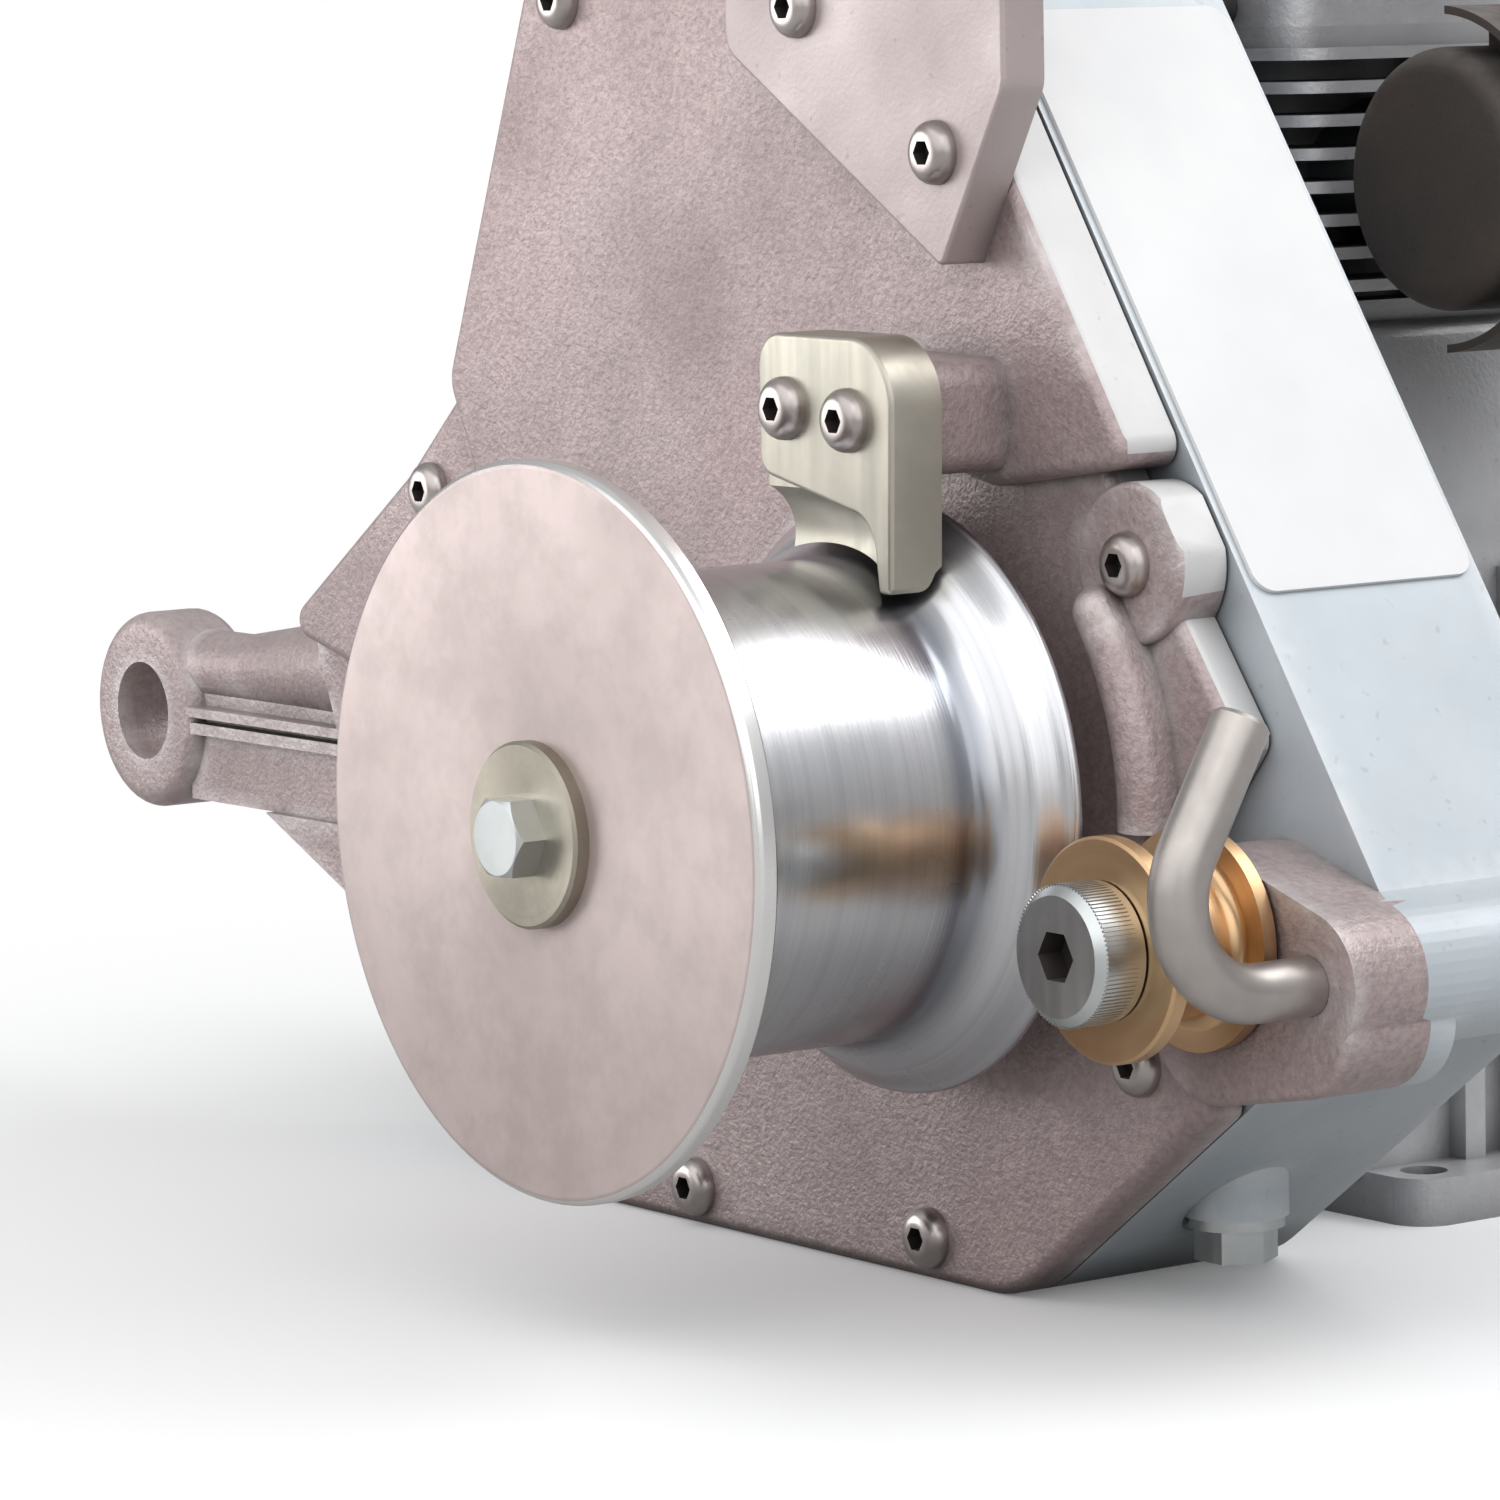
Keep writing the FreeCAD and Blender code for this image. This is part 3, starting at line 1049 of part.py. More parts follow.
def rounded_block(x0, x1, y0, y1, z0, z1, radius):
    """Block with its upright edges rounded."""
    block = box(x0, x1, y0, y1, z0, z1)
    return soften(block, radius, lambda e: e.BoundBox.ZLength > (z1 - z0) - 1e-4)


def head_block(low, high, inset=0.0, radius=HEAD_CORNER):
    """Block on the cylinder's plan, inset on all sides."""
    mid = engine_mid_y()
    half_w = HEAD_W / 2 - inset
    half_d = HEAD_D / 2 - inset
    return rounded_block(CRANK_X - half_w, CRANK_X + half_w, mid - half_d, mid + half_d, low, high, radius)


def make_cylinder():
    mid = engine_mid_y()
    core = rod_z(CRANK_X, mid, BORE_BLOCK_R, BLOCK_BASE_Z, HEAD_Z)
    base = head_block(BLOCK_BASE_Z, BLOCK_BASE_Z + HEAD_PLATE)
    top = head_block(HEAD_Z - HEAD_PLATE, HEAD_Z)
    fins = []
    for i in range(1, FIN_COUNT):
        z = BLOCK_BASE_Z + i * FIN_PITCH
        fins.append(rounded_block(CRANK_X - FIN_W / 2, CRANK_X + FIN_W / 2, mid - FIN_D / 2, mid + FIN_D / 2,
                                  z, z + FIN_T, 10))
    reach = FIN_W / 2 + PORT_STEP
    port = rod_x(mid, PORT_Z, PORT_R, CRANK_X - reach, CRANK_X + reach)
    return join([core, base, top, port] + fins)


def make_valve_cover():
    lower = head_block(HEAD_Z, HEAD_Z + VALVE_RIM)
    upper = head_block(HEAD_Z + VALVE_RIM, HEAD_Z + HEAD_H, VALVE_STEP, HEAD_CORNER + 2)
    upper = soften(upper, 4.0, lambda e: e.BoundBox.ZMin > HEAD_Z + HEAD_H + AXIS_Z - 1e-3)
    return join([lower, upper])


def make_spark_plug():
    mid = engine_mid_y()
    y0 = mid - HEAD_D / 2
    z = HEAD_Z + VALVE_RIM / 2
    x = CRANK_X + PLUG_X
    shank = rod(x, z, PLUG_R, y0 - 6, y0)
    nut = hexagon_y(x, z, PLUG_AF, y0 - 9, y0 - 6)
    boot = rod(x, z, PLUG_BOOT_R, y0 - 27, y0 - 9)
    boot_end = rod_z(x, y0 - 22, PLUG_BOOT_R, z, z + 14)
    return join([shank, nut, boot, boot_end])


def make_fan_shroud():
    y0 = SHROUD_Y
    y1 = STARTER_Y
    w = SHROUD_WALL
    drum = rod(CRANK_X, CRANK_Z, SHROUD_R, y0, y1)
    half = DUCT_W / 2
    tower = box(CRANK_X - half, CRANK_X + half, y0, y1 - SHROUD_STEP, CRANK_Z + DUCT_START, HEAD_Z)
    top = HEAD_Z + AXIS_Z - 1e-3
    tower = soften(tower, 8.0, lambda e: e.BoundBox.YLength > 1 and e.BoundBox.ZMin > top)
    clamp = box(HANDLE_X - CLAMP_W / 2, HANDLE_X + CLAMP_W / 2, LEG_Y - CLAMP_D / 2, LEG_Y + CLAMP_D / 2,
                HEAD_Z - CLAMP_DROP, HEAD_Z + CLAMP_RISE)
    clamp_core = clamp.copy()
    clamp = soften(clamp, 4.0, lambda e: e.BoundBox.ZLength > CLAMP_DROP + CLAMP_RISE - 1e-4)
    shell = join([drum, tower, clamp])
    inner = join([rod(CRANK_X, CRANK_Z, SHROUD_R - w, y0 - 1, y1 - w),
                  box(CRANK_X - half + w, CRANK_X + half - w, y0 - 1, y1 - SHROUD_STEP - w,
                      CRANK_Z + DUCT_START, HEAD_Z - w)])
    inner = inner.cut(clamp_core)
    shell = shell.cut(inner).cut(rod(CRANK_X, CRANK_Z, STARTER_R - 14, y1 - 10, y1 + 1))
    return shell.cut(rod_z(HANDLE_X, LEG_Y, HANDLE_R + FIT, LEG_FOOT_Z, HEAD_Z + 20))


def make_starter_cover():
    y0 = STARTER_Y
    y1 = STARTER_Y + STARTER_D
    w = SHROUD_WALL
    dome = rod(CRANK_X, CRANK_Z, STARTER_R, y0, y1)
    dome = soften(dome, 12.0, lambda e: at_y(e, y1))
    dome = dome.cut(rod(CRANK_X, CRANK_Z, STARTER_R - w, y0 - 1, y1 - 13))
    dome = dome.cut(rod(CRANK_X, CRANK_Z, STARTER_R - 14, y1 - 14, y1 - w))
    for i in range(12):
        slot = box(-2.2, 2.2, y1 - 10, y1 + 1, 20, STARTER_R - 17)
        slot = soften(slot, 2.0, lambda e: e.BoundBox.YLength > 10.9)
        slot.rotate(V(0, 0, AXIS_Z), V(0, 1, 0), 15 + 30 * i)
        slot.translate(V(CRANK_X, 0, CRANK_Z))
        dome = dome.cut(slot)
    spindle = rod(CRANK_X, CRANK_Z, 6.0, REEL_Y - 2, y1 - w)
    eyelet = rod_x(ROPE_Y, ROPE_Z, 6.0, EYELET_X - 12, EYELET_X)
    cover = join([dome, spindle, eyelet])
    return cover.cut(rod_x(ROPE_Y, ROPE_Z, ROPE_R + 0.4, CRANK_X + REEL_R, EYELET_X + 1))


def make_starter_reel():
    y0 = REEL_Y
    rim = REEL_R + 4
    floor_r = REEL_R - ROPE_R - 0.5
    profile = [(6.0 + FIT, y0), (rim, y0), (rim, y0 + 1.6), (floor_r, y0 + 2.6), (floor_r, y0 + REEL_W - 2.6),
               (rim, y0 + REEL_W - 1.6), (rim, y0 + REEL_W), (6.0 + FIT, y0 + REEL_W)]
    return lathe(profile, CRANK_X, CRANK_Z)


def make_starter_rope():
    return rod_x(ROPE_Y, ROPE_Z, ROPE_R, CRANK_X - 34, EYELET_X + 6)


def make_starter_grip():
    """T-shaped pull with its rope knot inside."""
    stem = rod_x(ROPE_Y, ROPE_Z, 6.0, EYELET_X + FACE_GAP, EYELET_X + 14)
    bar = rod_z(EYELET_X + 19, ROPE_Y, 8.0, ROPE_Z - 36, ROPE_Z + 36)
    bar = soften(bar, 5.0, lambda e: len(e.Vertexes) == 1 and abs(e.Length - 2 * math.pi * 8.0) < 1e-3)
    return join([stem, bar]).cut(rod_x(ROPE_Y, ROPE_Z, ROPE_R + FIT, EYELET_X - 1, EYELET_X + 6))


def make_fuel_tank():
    x0 = CRANK_X - TANK_W / 2
    x1 = CRANK_X + TANK_W / 2
    y0 = TANK_Y
    y1 = TANK_Y + TANK_D
    z1 = TANK_Z + TANK_H
    tank = rounded_block(x0, x1, y0, y1, TANK_Z, z1, 18)
    tank = soften(tank, 10.0, lambda e: e.BoundBox.ZLength < 1e-3)
    w = TANK_WALL
    inner = rounded_block(x0 + w, x1 - w, y0 + w, y1 - w, TANK_Z + w, z1 - w, 18 - w)
    inner = soften(inner, 10.0 - w, lambda e: e.BoundBox.ZLength < 1e-3)
    neck = rod_z(CAP_X, CAP_Y, CAP_R - 4, z1 - w, z1 + 10)
    bore = rod_z(CAP_X, CAP_Y, CAP_R - 6.5, z1 - w - 1, z1 + 11)
    feet = []
    for side in (-1, 1):
        x = CRANK_X + side * TANK_FOOT_X
        y = engine_mid_y()
        feet.append(box(x - 8, x + 8, y - 16, y + 16, TANK_Z - TANK_GAP, TANK_Z + 1))
    return join([tank, neck] + feet).cut(inner).cut(bore)


def make_fuel_cap():
    z0 = TANK_Z + TANK_H + FACE_GAP
    cap = rod_z(CAP_X, CAP_Y, CAP_R, z0, z0 + CAP_H)
    cap = soften(cap, 3.0, lambda e: e.BoundBox.ZMin > z0 + CAP_H + AXIS_Z - 1e-3)
    cap = cap.cut(rod_z(CAP_X, CAP_Y, CAP_R - 3.6, z0 - 1, z0 + CAP_H - 4))
    for i in range(16):
        x, y = polar(CAP_X, CAP_Y, CAP_R + 0.6, 22.5 * i)
        cap = cap.cut(rod_z(x, y, 1.6, z0 + 2, z0 + CAP_H - 4))
    return cap


def make_muffler():
    y0 = engine_mid_y() - MUFFLER_L / 2
    can = rod(MUFFLER_X, MUFFLER_Z, MUFFLER_R, y0, y0 + MUFFLER_L)
    can = soften(can, 5.0, lambda e: at_y(e, y0) or at_y(e, y0 + MUFFLER_L))
    flange = rod_x(engine_mid_y(), PORT_Z, PORT_R, CRANK_X + FIN_W / 2 + PORT_STEP, MUFFLER_X)
    outlet = tube(MUFFLER_X + 6, MUFFLER_Z - 6, 6.0, 4.4, y0 + MUFFLER_L - 2, y0 + MUFFLER_L + 14)
    return join([can, flange, outlet])


def make_muffler_guard():
    """Slotted half shell that stands off the hot can."""
    r = MUFFLER_R + GUARD_GAP
    y0 = engine_mid_y() - MUFFLER_L / 2
    shell = tube(MUFFLER_X, MUFFLER_Z, r + 1.5, r, y0 + 2, y0 + MUFFLER_L - 2)
    half = box(MUFFLER_X + 2, MUFFLER_X + 2 * r, y0, y0 + MUFFLER_L, MUFFLER_Z - 2 * r, MUFFLER_Z + 2 * r)
    shell = shell.common(half)
    pitch = MUFFLER_L / (GUARD_SLOTS + 1)
    for i in range(GUARD_SLOTS):
        slot_y = y0 + (i + 1) * pitch - GUARD_SLOT_W / 2
        for turn in (-50, 0, 50):
            slot = box(0, 2 * r, slot_y, slot_y + GUARD_SLOT_W, -GUARD_SLOT_H / 2, GUARD_SLOT_H / 2)
            slot.rotate(V(0, 0, AXIS_Z), V(0, 1, 0), turn)
            slot.translate(V(MUFFLER_X, 0, MUFFLER_Z))
            shell = shell.cut(slot)
    studs = [rod_z(MUFFLER_X + 3, y, 3.0, MUFFLER_Z + MUFFLER_R - 1, MUFFLER_Z + r + 0.8)
             for y in (y0 + 16, y0 + MUFFLER_L - 16)]
    return join([shell] + studs).cut(rod(MUFFLER_X, MUFFLER_Z, MUFFLER_R, y0, y0 + MUFFLER_L))


def make_carburettor():
    mid = engine_mid_y()
    x1 = CRANK_X - FIN_W / 2 - PORT_STEP
    body = rounded_block(x1 - 30, x1, mid - 17, mid + 17, PORT_Z - 16, PORT_Z + 16, 5)
    bowl = rod_z(x1 - 15, mid, 13, PORT_Z - 34, PORT_Z - 16)
    nut = rod_z(x1 - 15, mid, 5, PORT_Z - 38, PORT_Z - 34)
    post = rod_z(x1 - 15, mid, 3.0, PORT_Z + 16, PORT_Z + 22)
    pivot = rod(x1 - 15, PORT_Z + 4, 3.0, mid - 23, mid - 17)
    return join([body, bowl, nut, post, pivot])


def lever(length, width, thick):
    """Flat lever with a round eye at the origin, lying along -X in the XY plane."""
    arm = Part.makeBox(length, width, thick, V(-length, -width / 2, 0))
    eye = Part.makeCylinder(width / 2 + 2, thick, V(0, 0, 0), V(0, 0, 1))
    end = Part.makeCylinder(width / 2, thick + 5, V(-length, 0, 0), V(0, 0, 1))
    return join([arm, eye, end]).cut(Part.makeCylinder(3.0 + FIT, thick + 10, V(0, 0, -2), V(0, 0, 1)))


def make_throttle_lever():
    shape = lever(30, 8, 2.5)
    shape.rotate(V(0, 0, 0), V(0, 0, 1), THROTTLE_REST_DEG)
    shape.translate(V(CRANK_X - FIN_W / 2 - 19, engine_mid_y(), PORT_Z + 16 + FACE_GAP + AXIS_Z))
    return shape


def make_choke_lever():
    shape = lever(24, 7, 2.5)
    shape.rotate(V(0, 0, 0), V(1, 0, 0), 90)
    shape.rotate(V(0, 0, 0), V(0, 1, 0), CHOKE_REST_DEG)
    shape.translate(V(CRANK_X - FIN_W / 2 - 19, engine_mid_y() - 17 - FACE_GAP, PORT_Z + 4 + AXIS_Z))
    return shape


def make_air_cleaner():
    mid = engine_mid_y()
    x1 = CRANK_X - FIN_W / 2 - FILTER_REACH
    split = x1 - FILTER_BACK
    front = split - FILTER_LID
    half = FILTER_W / 2
    low = PORT_Z - FILTER_LOW
    high = PORT_Z + FILTER_HIGH
    inset = FILTER_LIP + FILTER_WALL
    lip = FILTER_LIP
    back = box(split, x1, mid - half + lip, mid + half - lip, low + lip, high - lip)
    back = soften(back, 8.0, lambda e: e.BoundBox.XLength > FILTER_BACK - 0.1)
    lid = box(front, split, mid - half, mid + half, low, high)
    lid = soften(lid, 10.0, lambda e: e.BoundBox.XLength > FILTER_LID - 0.1)
    lid = soften(lid, 6.0, lambda e: e.BoundBox.XMax < front + 1e-3)
    knob = rod_x(mid, (low + high) / 2, FILTER_KNOB_R, front - FILTER_KNOB_H, front)
    hollow = box(front + FILTER_WALL, x1 - FILTER_WALL, mid - half + inset, mid + half - inset,
                 low + inset, high - inset)
    return join([back, lid, knob]).cut(hollow)


def make_stop_switch():
    x = CRANK_X + 34
    z = HEAD_Z - 24
    y0 = STARTER_Y - SHROUD_STEP + FACE_GAP
    dial = rod(x, z, SWITCH_R, y0, y0 + SWITCH_H)
    half = SWITCH_BAR / 2
    bar = box(x - half, x + half, y0 + SWITCH_H - 1, y0 + SWITCH_BAR_H, z - SWITCH_R, z + SWITCH_R)
    return join([dial, bar]).common(rod(x, z, SWITCH_R, y0, y0 + SWITCH_BAR_H))


# Carry handle
def make_handle_bracket():
    y0 = PLATEAU_Y - BRACKET_T
    plate = prism(BRACKET_OUTLINE, y0, PLATEAU_Y)
    plate = soften(plate, 0.8, lambda e: at_y(e, y0))
    holes = [rod(x, z, M6_HOLE_R, y0 - 1, PLATEAU_Y + 1) for x, z in BRACKET_SCREWS]
    holes.append(rod(HANDLE_X, HANDLE_TOP, HANDLE_R + FIT, y0 - 1, PLATEAU_Y + 1))
    return plate.cut(join(holes))


def make_bracket_screws():
    return compound([button_screw(x, z, PLATEAU_Y - BRACKET_T, BRACKET_T + 10) for x, z in BRACKET_SCREWS])


def make_handle_tube():
    bend = HANDLE_BEND
    y0 = PLATEAU_Y - BRACKET_T - 3
    run = rod(HANDLE_X, HANDLE_TOP, HANDLE_R, y0, LEG_Y - bend)
    low = HANDLE_TOP - bend
    elbow = Part.makeTorus(bend, HANDLE_R, V(HANDLE_X, LEG_Y - bend, low + AXIS_Z), V(1, 0, 0), 0, 360, 360)
    corner = box(HANDLE_X - 20, HANDLE_X + 20, LEG_Y - bend, LEG_Y + 40, low, HANDLE_TOP + 40)
    elbow = elbow.common(corner)
    leg = rod_z(HANDLE_X, LEG_Y, HANDLE_R, LEG_FOOT_Z, HANDLE_TOP - bend)
    return join([run, elbow, leg])


def make_handle_grip():
    mid = (PLATEAU_Y + LEG_Y - HANDLE_BEND) / 2
    grip = tube(HANDLE_X, HANDLE_TOP, GRIP_R, HANDLE_R + FIT, mid - GRIP_L / 2, mid + GRIP_L / 2)
    for i in range(GRIP_RINGS):
        y = mid - GRIP_L / 2 + GRIP_END + GRIP_PITCH * i
        grip = grip.cut(tube(HANDLE_X, HANDLE_TOP, GRIP_R + 1, GRIP_R - 1.2, y - 1.5, y + 1.5))
    return grip


LEG_Y = SHROUD_Y + 23.0
LEG_FOOT_Z = HEAD_Z - 18.0
TANK_Y = BLOCK_Y + 2.0
CAP_X = CRANK_X - TANK_W / 2 + CAP_INSET
CAP_Y = TANK_Y + TANK_D / 2
PORT_Z = BLOCK_BASE_Z + FIN_PITCH * FIN_COUNT / 2
MUFFLER_X = CRANK_X + FIN_W / 2 + 34.0
MUFFLER_Z = PORT_Z
GUARD_GAP = 6.0
GUARD_SLOTS = 6
GUARD_SLOT_W = 4.0
GUARD_SLOT_H = 17.0
REEL_Y = STARTER_Y + 6.0
ROPE_Y = REEL_Y + REEL_W / 2
ROPE_Z = CRANK_Z + REEL_R
EYELET_X = CRANK_X + STARTER_R + 2.0

NODES = {
    "front_cover": make_front_cover, "cover_gasket": make_cover_gasket, "cover_screws": make_cover_screws,
    "rear_case": make_rear_case, "rope_guide": make_rope_guide, "guide_screws": make_guide_screws,
    "drum": make_drum, "drum_disc": make_drum_disc, "drum_washer": make_drum_washer,
    "drum_bolt": make_drum_bolt,
    "drum_shaft": make_drum_shaft, "drum_key": lambda: key_block(-0.02), "bull_gear": make_bull_gear,
    "front_bearing": lambda: bearing(FRONT_BEARING, 0, 0, FRONT_BEARING_Y),
    "rear_bearing": lambda: bearing(REAR_BEARING, 0, 0, REAR_BEARING_Y),
    "shaft_seal": make_shaft_seal, "gear_bearings": make_gear_bearings,
    "second_shaft": make_second_shaft, "second_gear": make_second_gear,
    "first_shaft": make_first_shaft, "first_gear": make_first_gear,
    "input_pinion": make_input_pinion, "clutch_drum": make_clutch_drum,
    "input_bearing": lambda: bearing(INPUT_BEARING, CRANK_X, CRANK_Z, INPUT_BEARING_Y),
    "clutch_hub": make_clutch_hub, "clutch_shoes": make_clutch_shoes,
    "clutch_spring": lambda: spring_ring(0.0),
    "clutch_housing": make_clutch_housing, "housing_screws": make_housing_screws,
    "rope_roller": make_rope_roller, "roller_bolt": make_roller_bolt, "pigtail_hook": make_pigtail_hook,
    "drain_plug": make_drain_plug, "fill_plug": make_fill_plug, "label_plate": make_label_plate,
    "handle_bracket": make_handle_bracket, "bracket_screws": make_bracket_screws,
    "handle_tube": make_handle_tube, "handle_grip": make_handle_grip,
    "crankcase": make_crankcase, "crankshaft": make_crankshaft, "flywheel": make_flywheel,
    "cylinder": make_cylinder, "valve_cover": make_valve_cover, "spark_plug": make_spark_plug,
    "fan_shroud": make_fan_shroud, "starter_cover": make_starter_cover, "starter_reel": make_starter_reel,
    "starter_rope": make_starter_rope, "starter_grip": make_starter_grip,
    "fuel_tank": make_fuel_tank, "fuel_cap": make_fuel_cap,
    "muffler": make_muffler, "muffler_guard": make_muffler_guard,
    "carburettor": make_carburettor, "air_cleaner": make_air_cleaner,
    "throttle_lever": make_throttle_lever, "choke_lever": make_choke_lever, "stop_switch": make_stop_switch,
}

os.makedirs("parts", exist_ok=True)
for node, maker in NODES.items():
    shape = maker()
    count = len(shape.Solids)
    print(node, count, round(shape.Volume / 1000.0, 1), shape.isValid())
    export(node, shape)
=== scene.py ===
import json
import math

import bmesh
import bpy
from mathutils import Matrix, Vector
from mathutils.kdtree import KDTree


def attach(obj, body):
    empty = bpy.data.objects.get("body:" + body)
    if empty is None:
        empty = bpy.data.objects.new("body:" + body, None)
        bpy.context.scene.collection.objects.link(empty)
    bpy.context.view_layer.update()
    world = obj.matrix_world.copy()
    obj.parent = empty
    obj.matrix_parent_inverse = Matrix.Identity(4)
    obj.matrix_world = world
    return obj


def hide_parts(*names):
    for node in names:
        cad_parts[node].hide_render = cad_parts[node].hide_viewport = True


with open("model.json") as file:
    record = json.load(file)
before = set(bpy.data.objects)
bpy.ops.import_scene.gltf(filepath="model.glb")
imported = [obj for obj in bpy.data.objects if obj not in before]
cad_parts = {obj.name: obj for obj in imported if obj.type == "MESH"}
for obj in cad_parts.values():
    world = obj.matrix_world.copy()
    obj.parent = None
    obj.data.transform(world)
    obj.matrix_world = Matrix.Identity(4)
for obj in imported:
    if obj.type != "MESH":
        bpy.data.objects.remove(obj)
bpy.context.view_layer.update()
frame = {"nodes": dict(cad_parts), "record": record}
scene = bpy.context.scene
scene.view_settings.view_transform = "Standard"

# Places in the part's frame, in metres
AXIS_HEIGHT = 0.090
DISC_FRONT = -0.12303
ROLLER_CENTRE = (0.081, 0.0727)
SEAM = -0.0265
ARM_ROOT = -0.200
DISC_FACE_EDGE = 0.050
LOAD_WALL_FACING = Vector((0.83, 0.0, 0.56))
LOAD_WALL_FOOT = Vector((0.112, 0.0, 0.070))
# Depth behind the load wall that takes the painted highlight
LIT_WALL_REACH = 0.018
SCREW_SOCKET_R = 0.0024
SCREW_SOCKET_DEPTH = 0.004
BOLT_SOCKET_R = 0.0048
BOLT_SOCKET_DEPTH = 0.009
SOCKET_LIP = 0.0002

# Photograph's camera, measured from the middle of the drum's end disc
CAMERA_TURN = math.radians(53.88)
CAMERA_RISE = math.radians(6.68)
CAMERA_ROLL = math.radians(-1.21)
CAMERA_REACH = 1.100
PHOTO_SIDE = 1500.0
FOCAL_PIXELS = 6500.0
DISC_PIXEL = (535.5, 834.1)
SENSOR = 36.0


def place_camera():
    """Camera of the photograph, set so that the disc's middle falls on its pixel."""
    flat = math.cos(CAMERA_RISE)
    back = Vector((math.sin(CAMERA_TURN) * flat, -math.cos(CAMERA_TURN) * flat, math.sin(CAMERA_RISE)))
    level = Vector((math.cos(CAMERA_TURN), math.sin(CAMERA_TURN), 0))
    rise = back.cross(level)
    right = math.cos(CAMERA_ROLL) * level + math.sin(CAMERA_ROLL) * rise
    up = -math.sin(CAMERA_ROLL) * level + math.cos(CAMERA_ROLL) * rise
    middle = PHOTO_SIDE / 2
    across = (DISC_PIXEL[0] - middle) / FOCAL_PIXELS
    down = (DISC_PIXEL[1] - middle) / FOCAL_PIXELS
    disc_middle = Vector((0, DISC_FRONT, AXIS_HEIGHT))
    place = disc_middle - (right * across - up * down - back) * CAMERA_REACH
    data = bpy.data.cameras.new("photo_camera")
    data.sensor_width = SENSOR
    data.lens = FOCAL_PIXELS / PHOTO_SIDE * SENSOR
    data.clip_start = 0.01
    camera = bpy.data.objects.new("photo_camera", data)
    turn = Matrix((right, up, back)).transposed().to_4x4()
    camera.matrix_world = Matrix.Translation(place) @ turn
    scene.collection.objects.link(camera)
    scene.camera = camera


place_camera()


# Node helpers
def wire(tree, source, target):
    tree.links.new(source, target)


def math_node(tree, operation, first, second=None):
    node = tree.nodes.new("ShaderNodeMath")
    node.operation = operation
    for socket, value in zip(node.inputs, (first, second)):
        if value is None:
            continue
        if isinstance(value, bpy.types.NodeSocket):
            wire(tree, value, socket)
        else:
            socket.default_value = value
    return node.outputs[0]


def ramp(tree, source, low, high, low_value=0.0, high_value=1.0):
    node = tree.nodes.new("ShaderNodeMapRange")
    node.inputs["From Min"].default_value = low
    node.inputs["From Max"].default_value = high
    node.inputs["To Min"].default_value = low_value
    node.inputs["To Max"].default_value = high_value
    wire(tree, source, node.inputs["Value"])
    return node.outputs["Result"]


def noise(tree, vector, scale, detail=3.0, roughness=0.5):
    node = tree.nodes.new("ShaderNodeTexNoise")
    node.inputs["Scale"].default_value = scale
    node.inputs["Detail"].default_value = detail
    node.inputs["Roughness"].default_value = roughness
    wire(tree, vector, node.inputs["Vector"])
    return node.outputs["Fac"]


def object_place(tree):
    return tree.nodes.new("ShaderNodeTexCoord").outputs["Object"]


def new_group(name, inputs, outputs):
    tree = bpy.data.node_groups.new(name, "ShaderNodeTree")
    for label, value in inputs:
        socket = tree.interface.new_socket(label, in_out="INPUT", socket_type="NodeSocketFloat")
        socket.default_value = value
    for label in outputs:
        tree.interface.new_socket(label, in_out="OUTPUT", socket_type="NodeSocketFloat")
    return tree, tree.nodes.new("NodeGroupInput"), tree.nodes.new("NodeGroupOutput")


def scaled(tree, vector, factor):
    node = tree.nodes.new("ShaderNodeVectorMath")
    node.operation = "SCALE"
    wire(tree, vector, node.inputs[0])
    wire(tree, factor, node.inputs["Scale"])
    return node.outputs["Vector"]


# Surface effects shared by several finishes
def make_cast_skin():
    """Pebbled skin of a die casting: bump height, pebble tone, slow stain and small pits."""
    tree, given, made = new_group("cast skin", [("Size", 1.0)], ["Height", "Pebbles", "Stain", "Pits"])
    place = scaled(tree, object_place(tree), given.outputs["Size"])
    pebbles = noise(tree, place, 900.0, 3.0, 0.6)
    swell = noise(tree, place, 160.0, 2.0)
    soft_swell = math_node(tree, "MULTIPLY", swell, 0.6)
    wire(tree, math_node(tree, "ADD", pebbles, soft_swell), made.inputs["Height"])
    wire(tree, ramp(tree, noise(tree, place, 620.0, 4.0, 0.65), 0.40, 0.62), made.inputs["Pebbles"])
    stain = noise(tree, place, 22.0, 4.0, 0.6)
    wire(tree, ramp(tree, stain, 0.35, 0.68), made.inputs["Stain"])
    pits = noise(tree, place, 420.0, 1.0)
    wire(tree, ramp(tree, pits, 0.70, 0.78), made.inputs["Pits"])
    return tree


def make_turned_lines():
    """Lathe marks about an axis along Y: fine grooves in depth and in radius."""
    tree, given, made = new_group("turned lines", [("Centre X", 0.0), ("Centre Z", 0.0), ("Pitch", 1.0)],
                                  ["Height", "Tone"])
    split = tree.nodes.new("ShaderNodeSeparateXYZ")
    wire(tree, object_place(tree), split.inputs[0])
    across = math_node(tree, "SUBTRACT", split.outputs["X"], given.outputs["Centre X"])
    up = math_node(tree, "SUBTRACT", split.outputs["Z"], given.outputs["Centre Z"])
    across_squared = math_node(tree, "MULTIPLY", across, across)
    up_squared = math_node(tree, "MULTIPLY", up, up)
    radius = math_node(tree, "SQRT", math_node(tree, "ADD", across_squared, up_squared))
    line = tree.nodes.new("ShaderNodeCombineXYZ")
    wire(tree, radius, line.inputs["X"])
    wire(tree, split.outputs["Y"], line.inputs["Y"])
    place = scaled(tree, line.outputs[0], given.outputs["Pitch"])
    wire(tree, noise(tree, place, 2600.0, 2.0), made.inputs["Height"])
    wire(tree, noise(tree, place, 420.0, 3.0, 0.7), made.inputs["Tone"])
    return tree


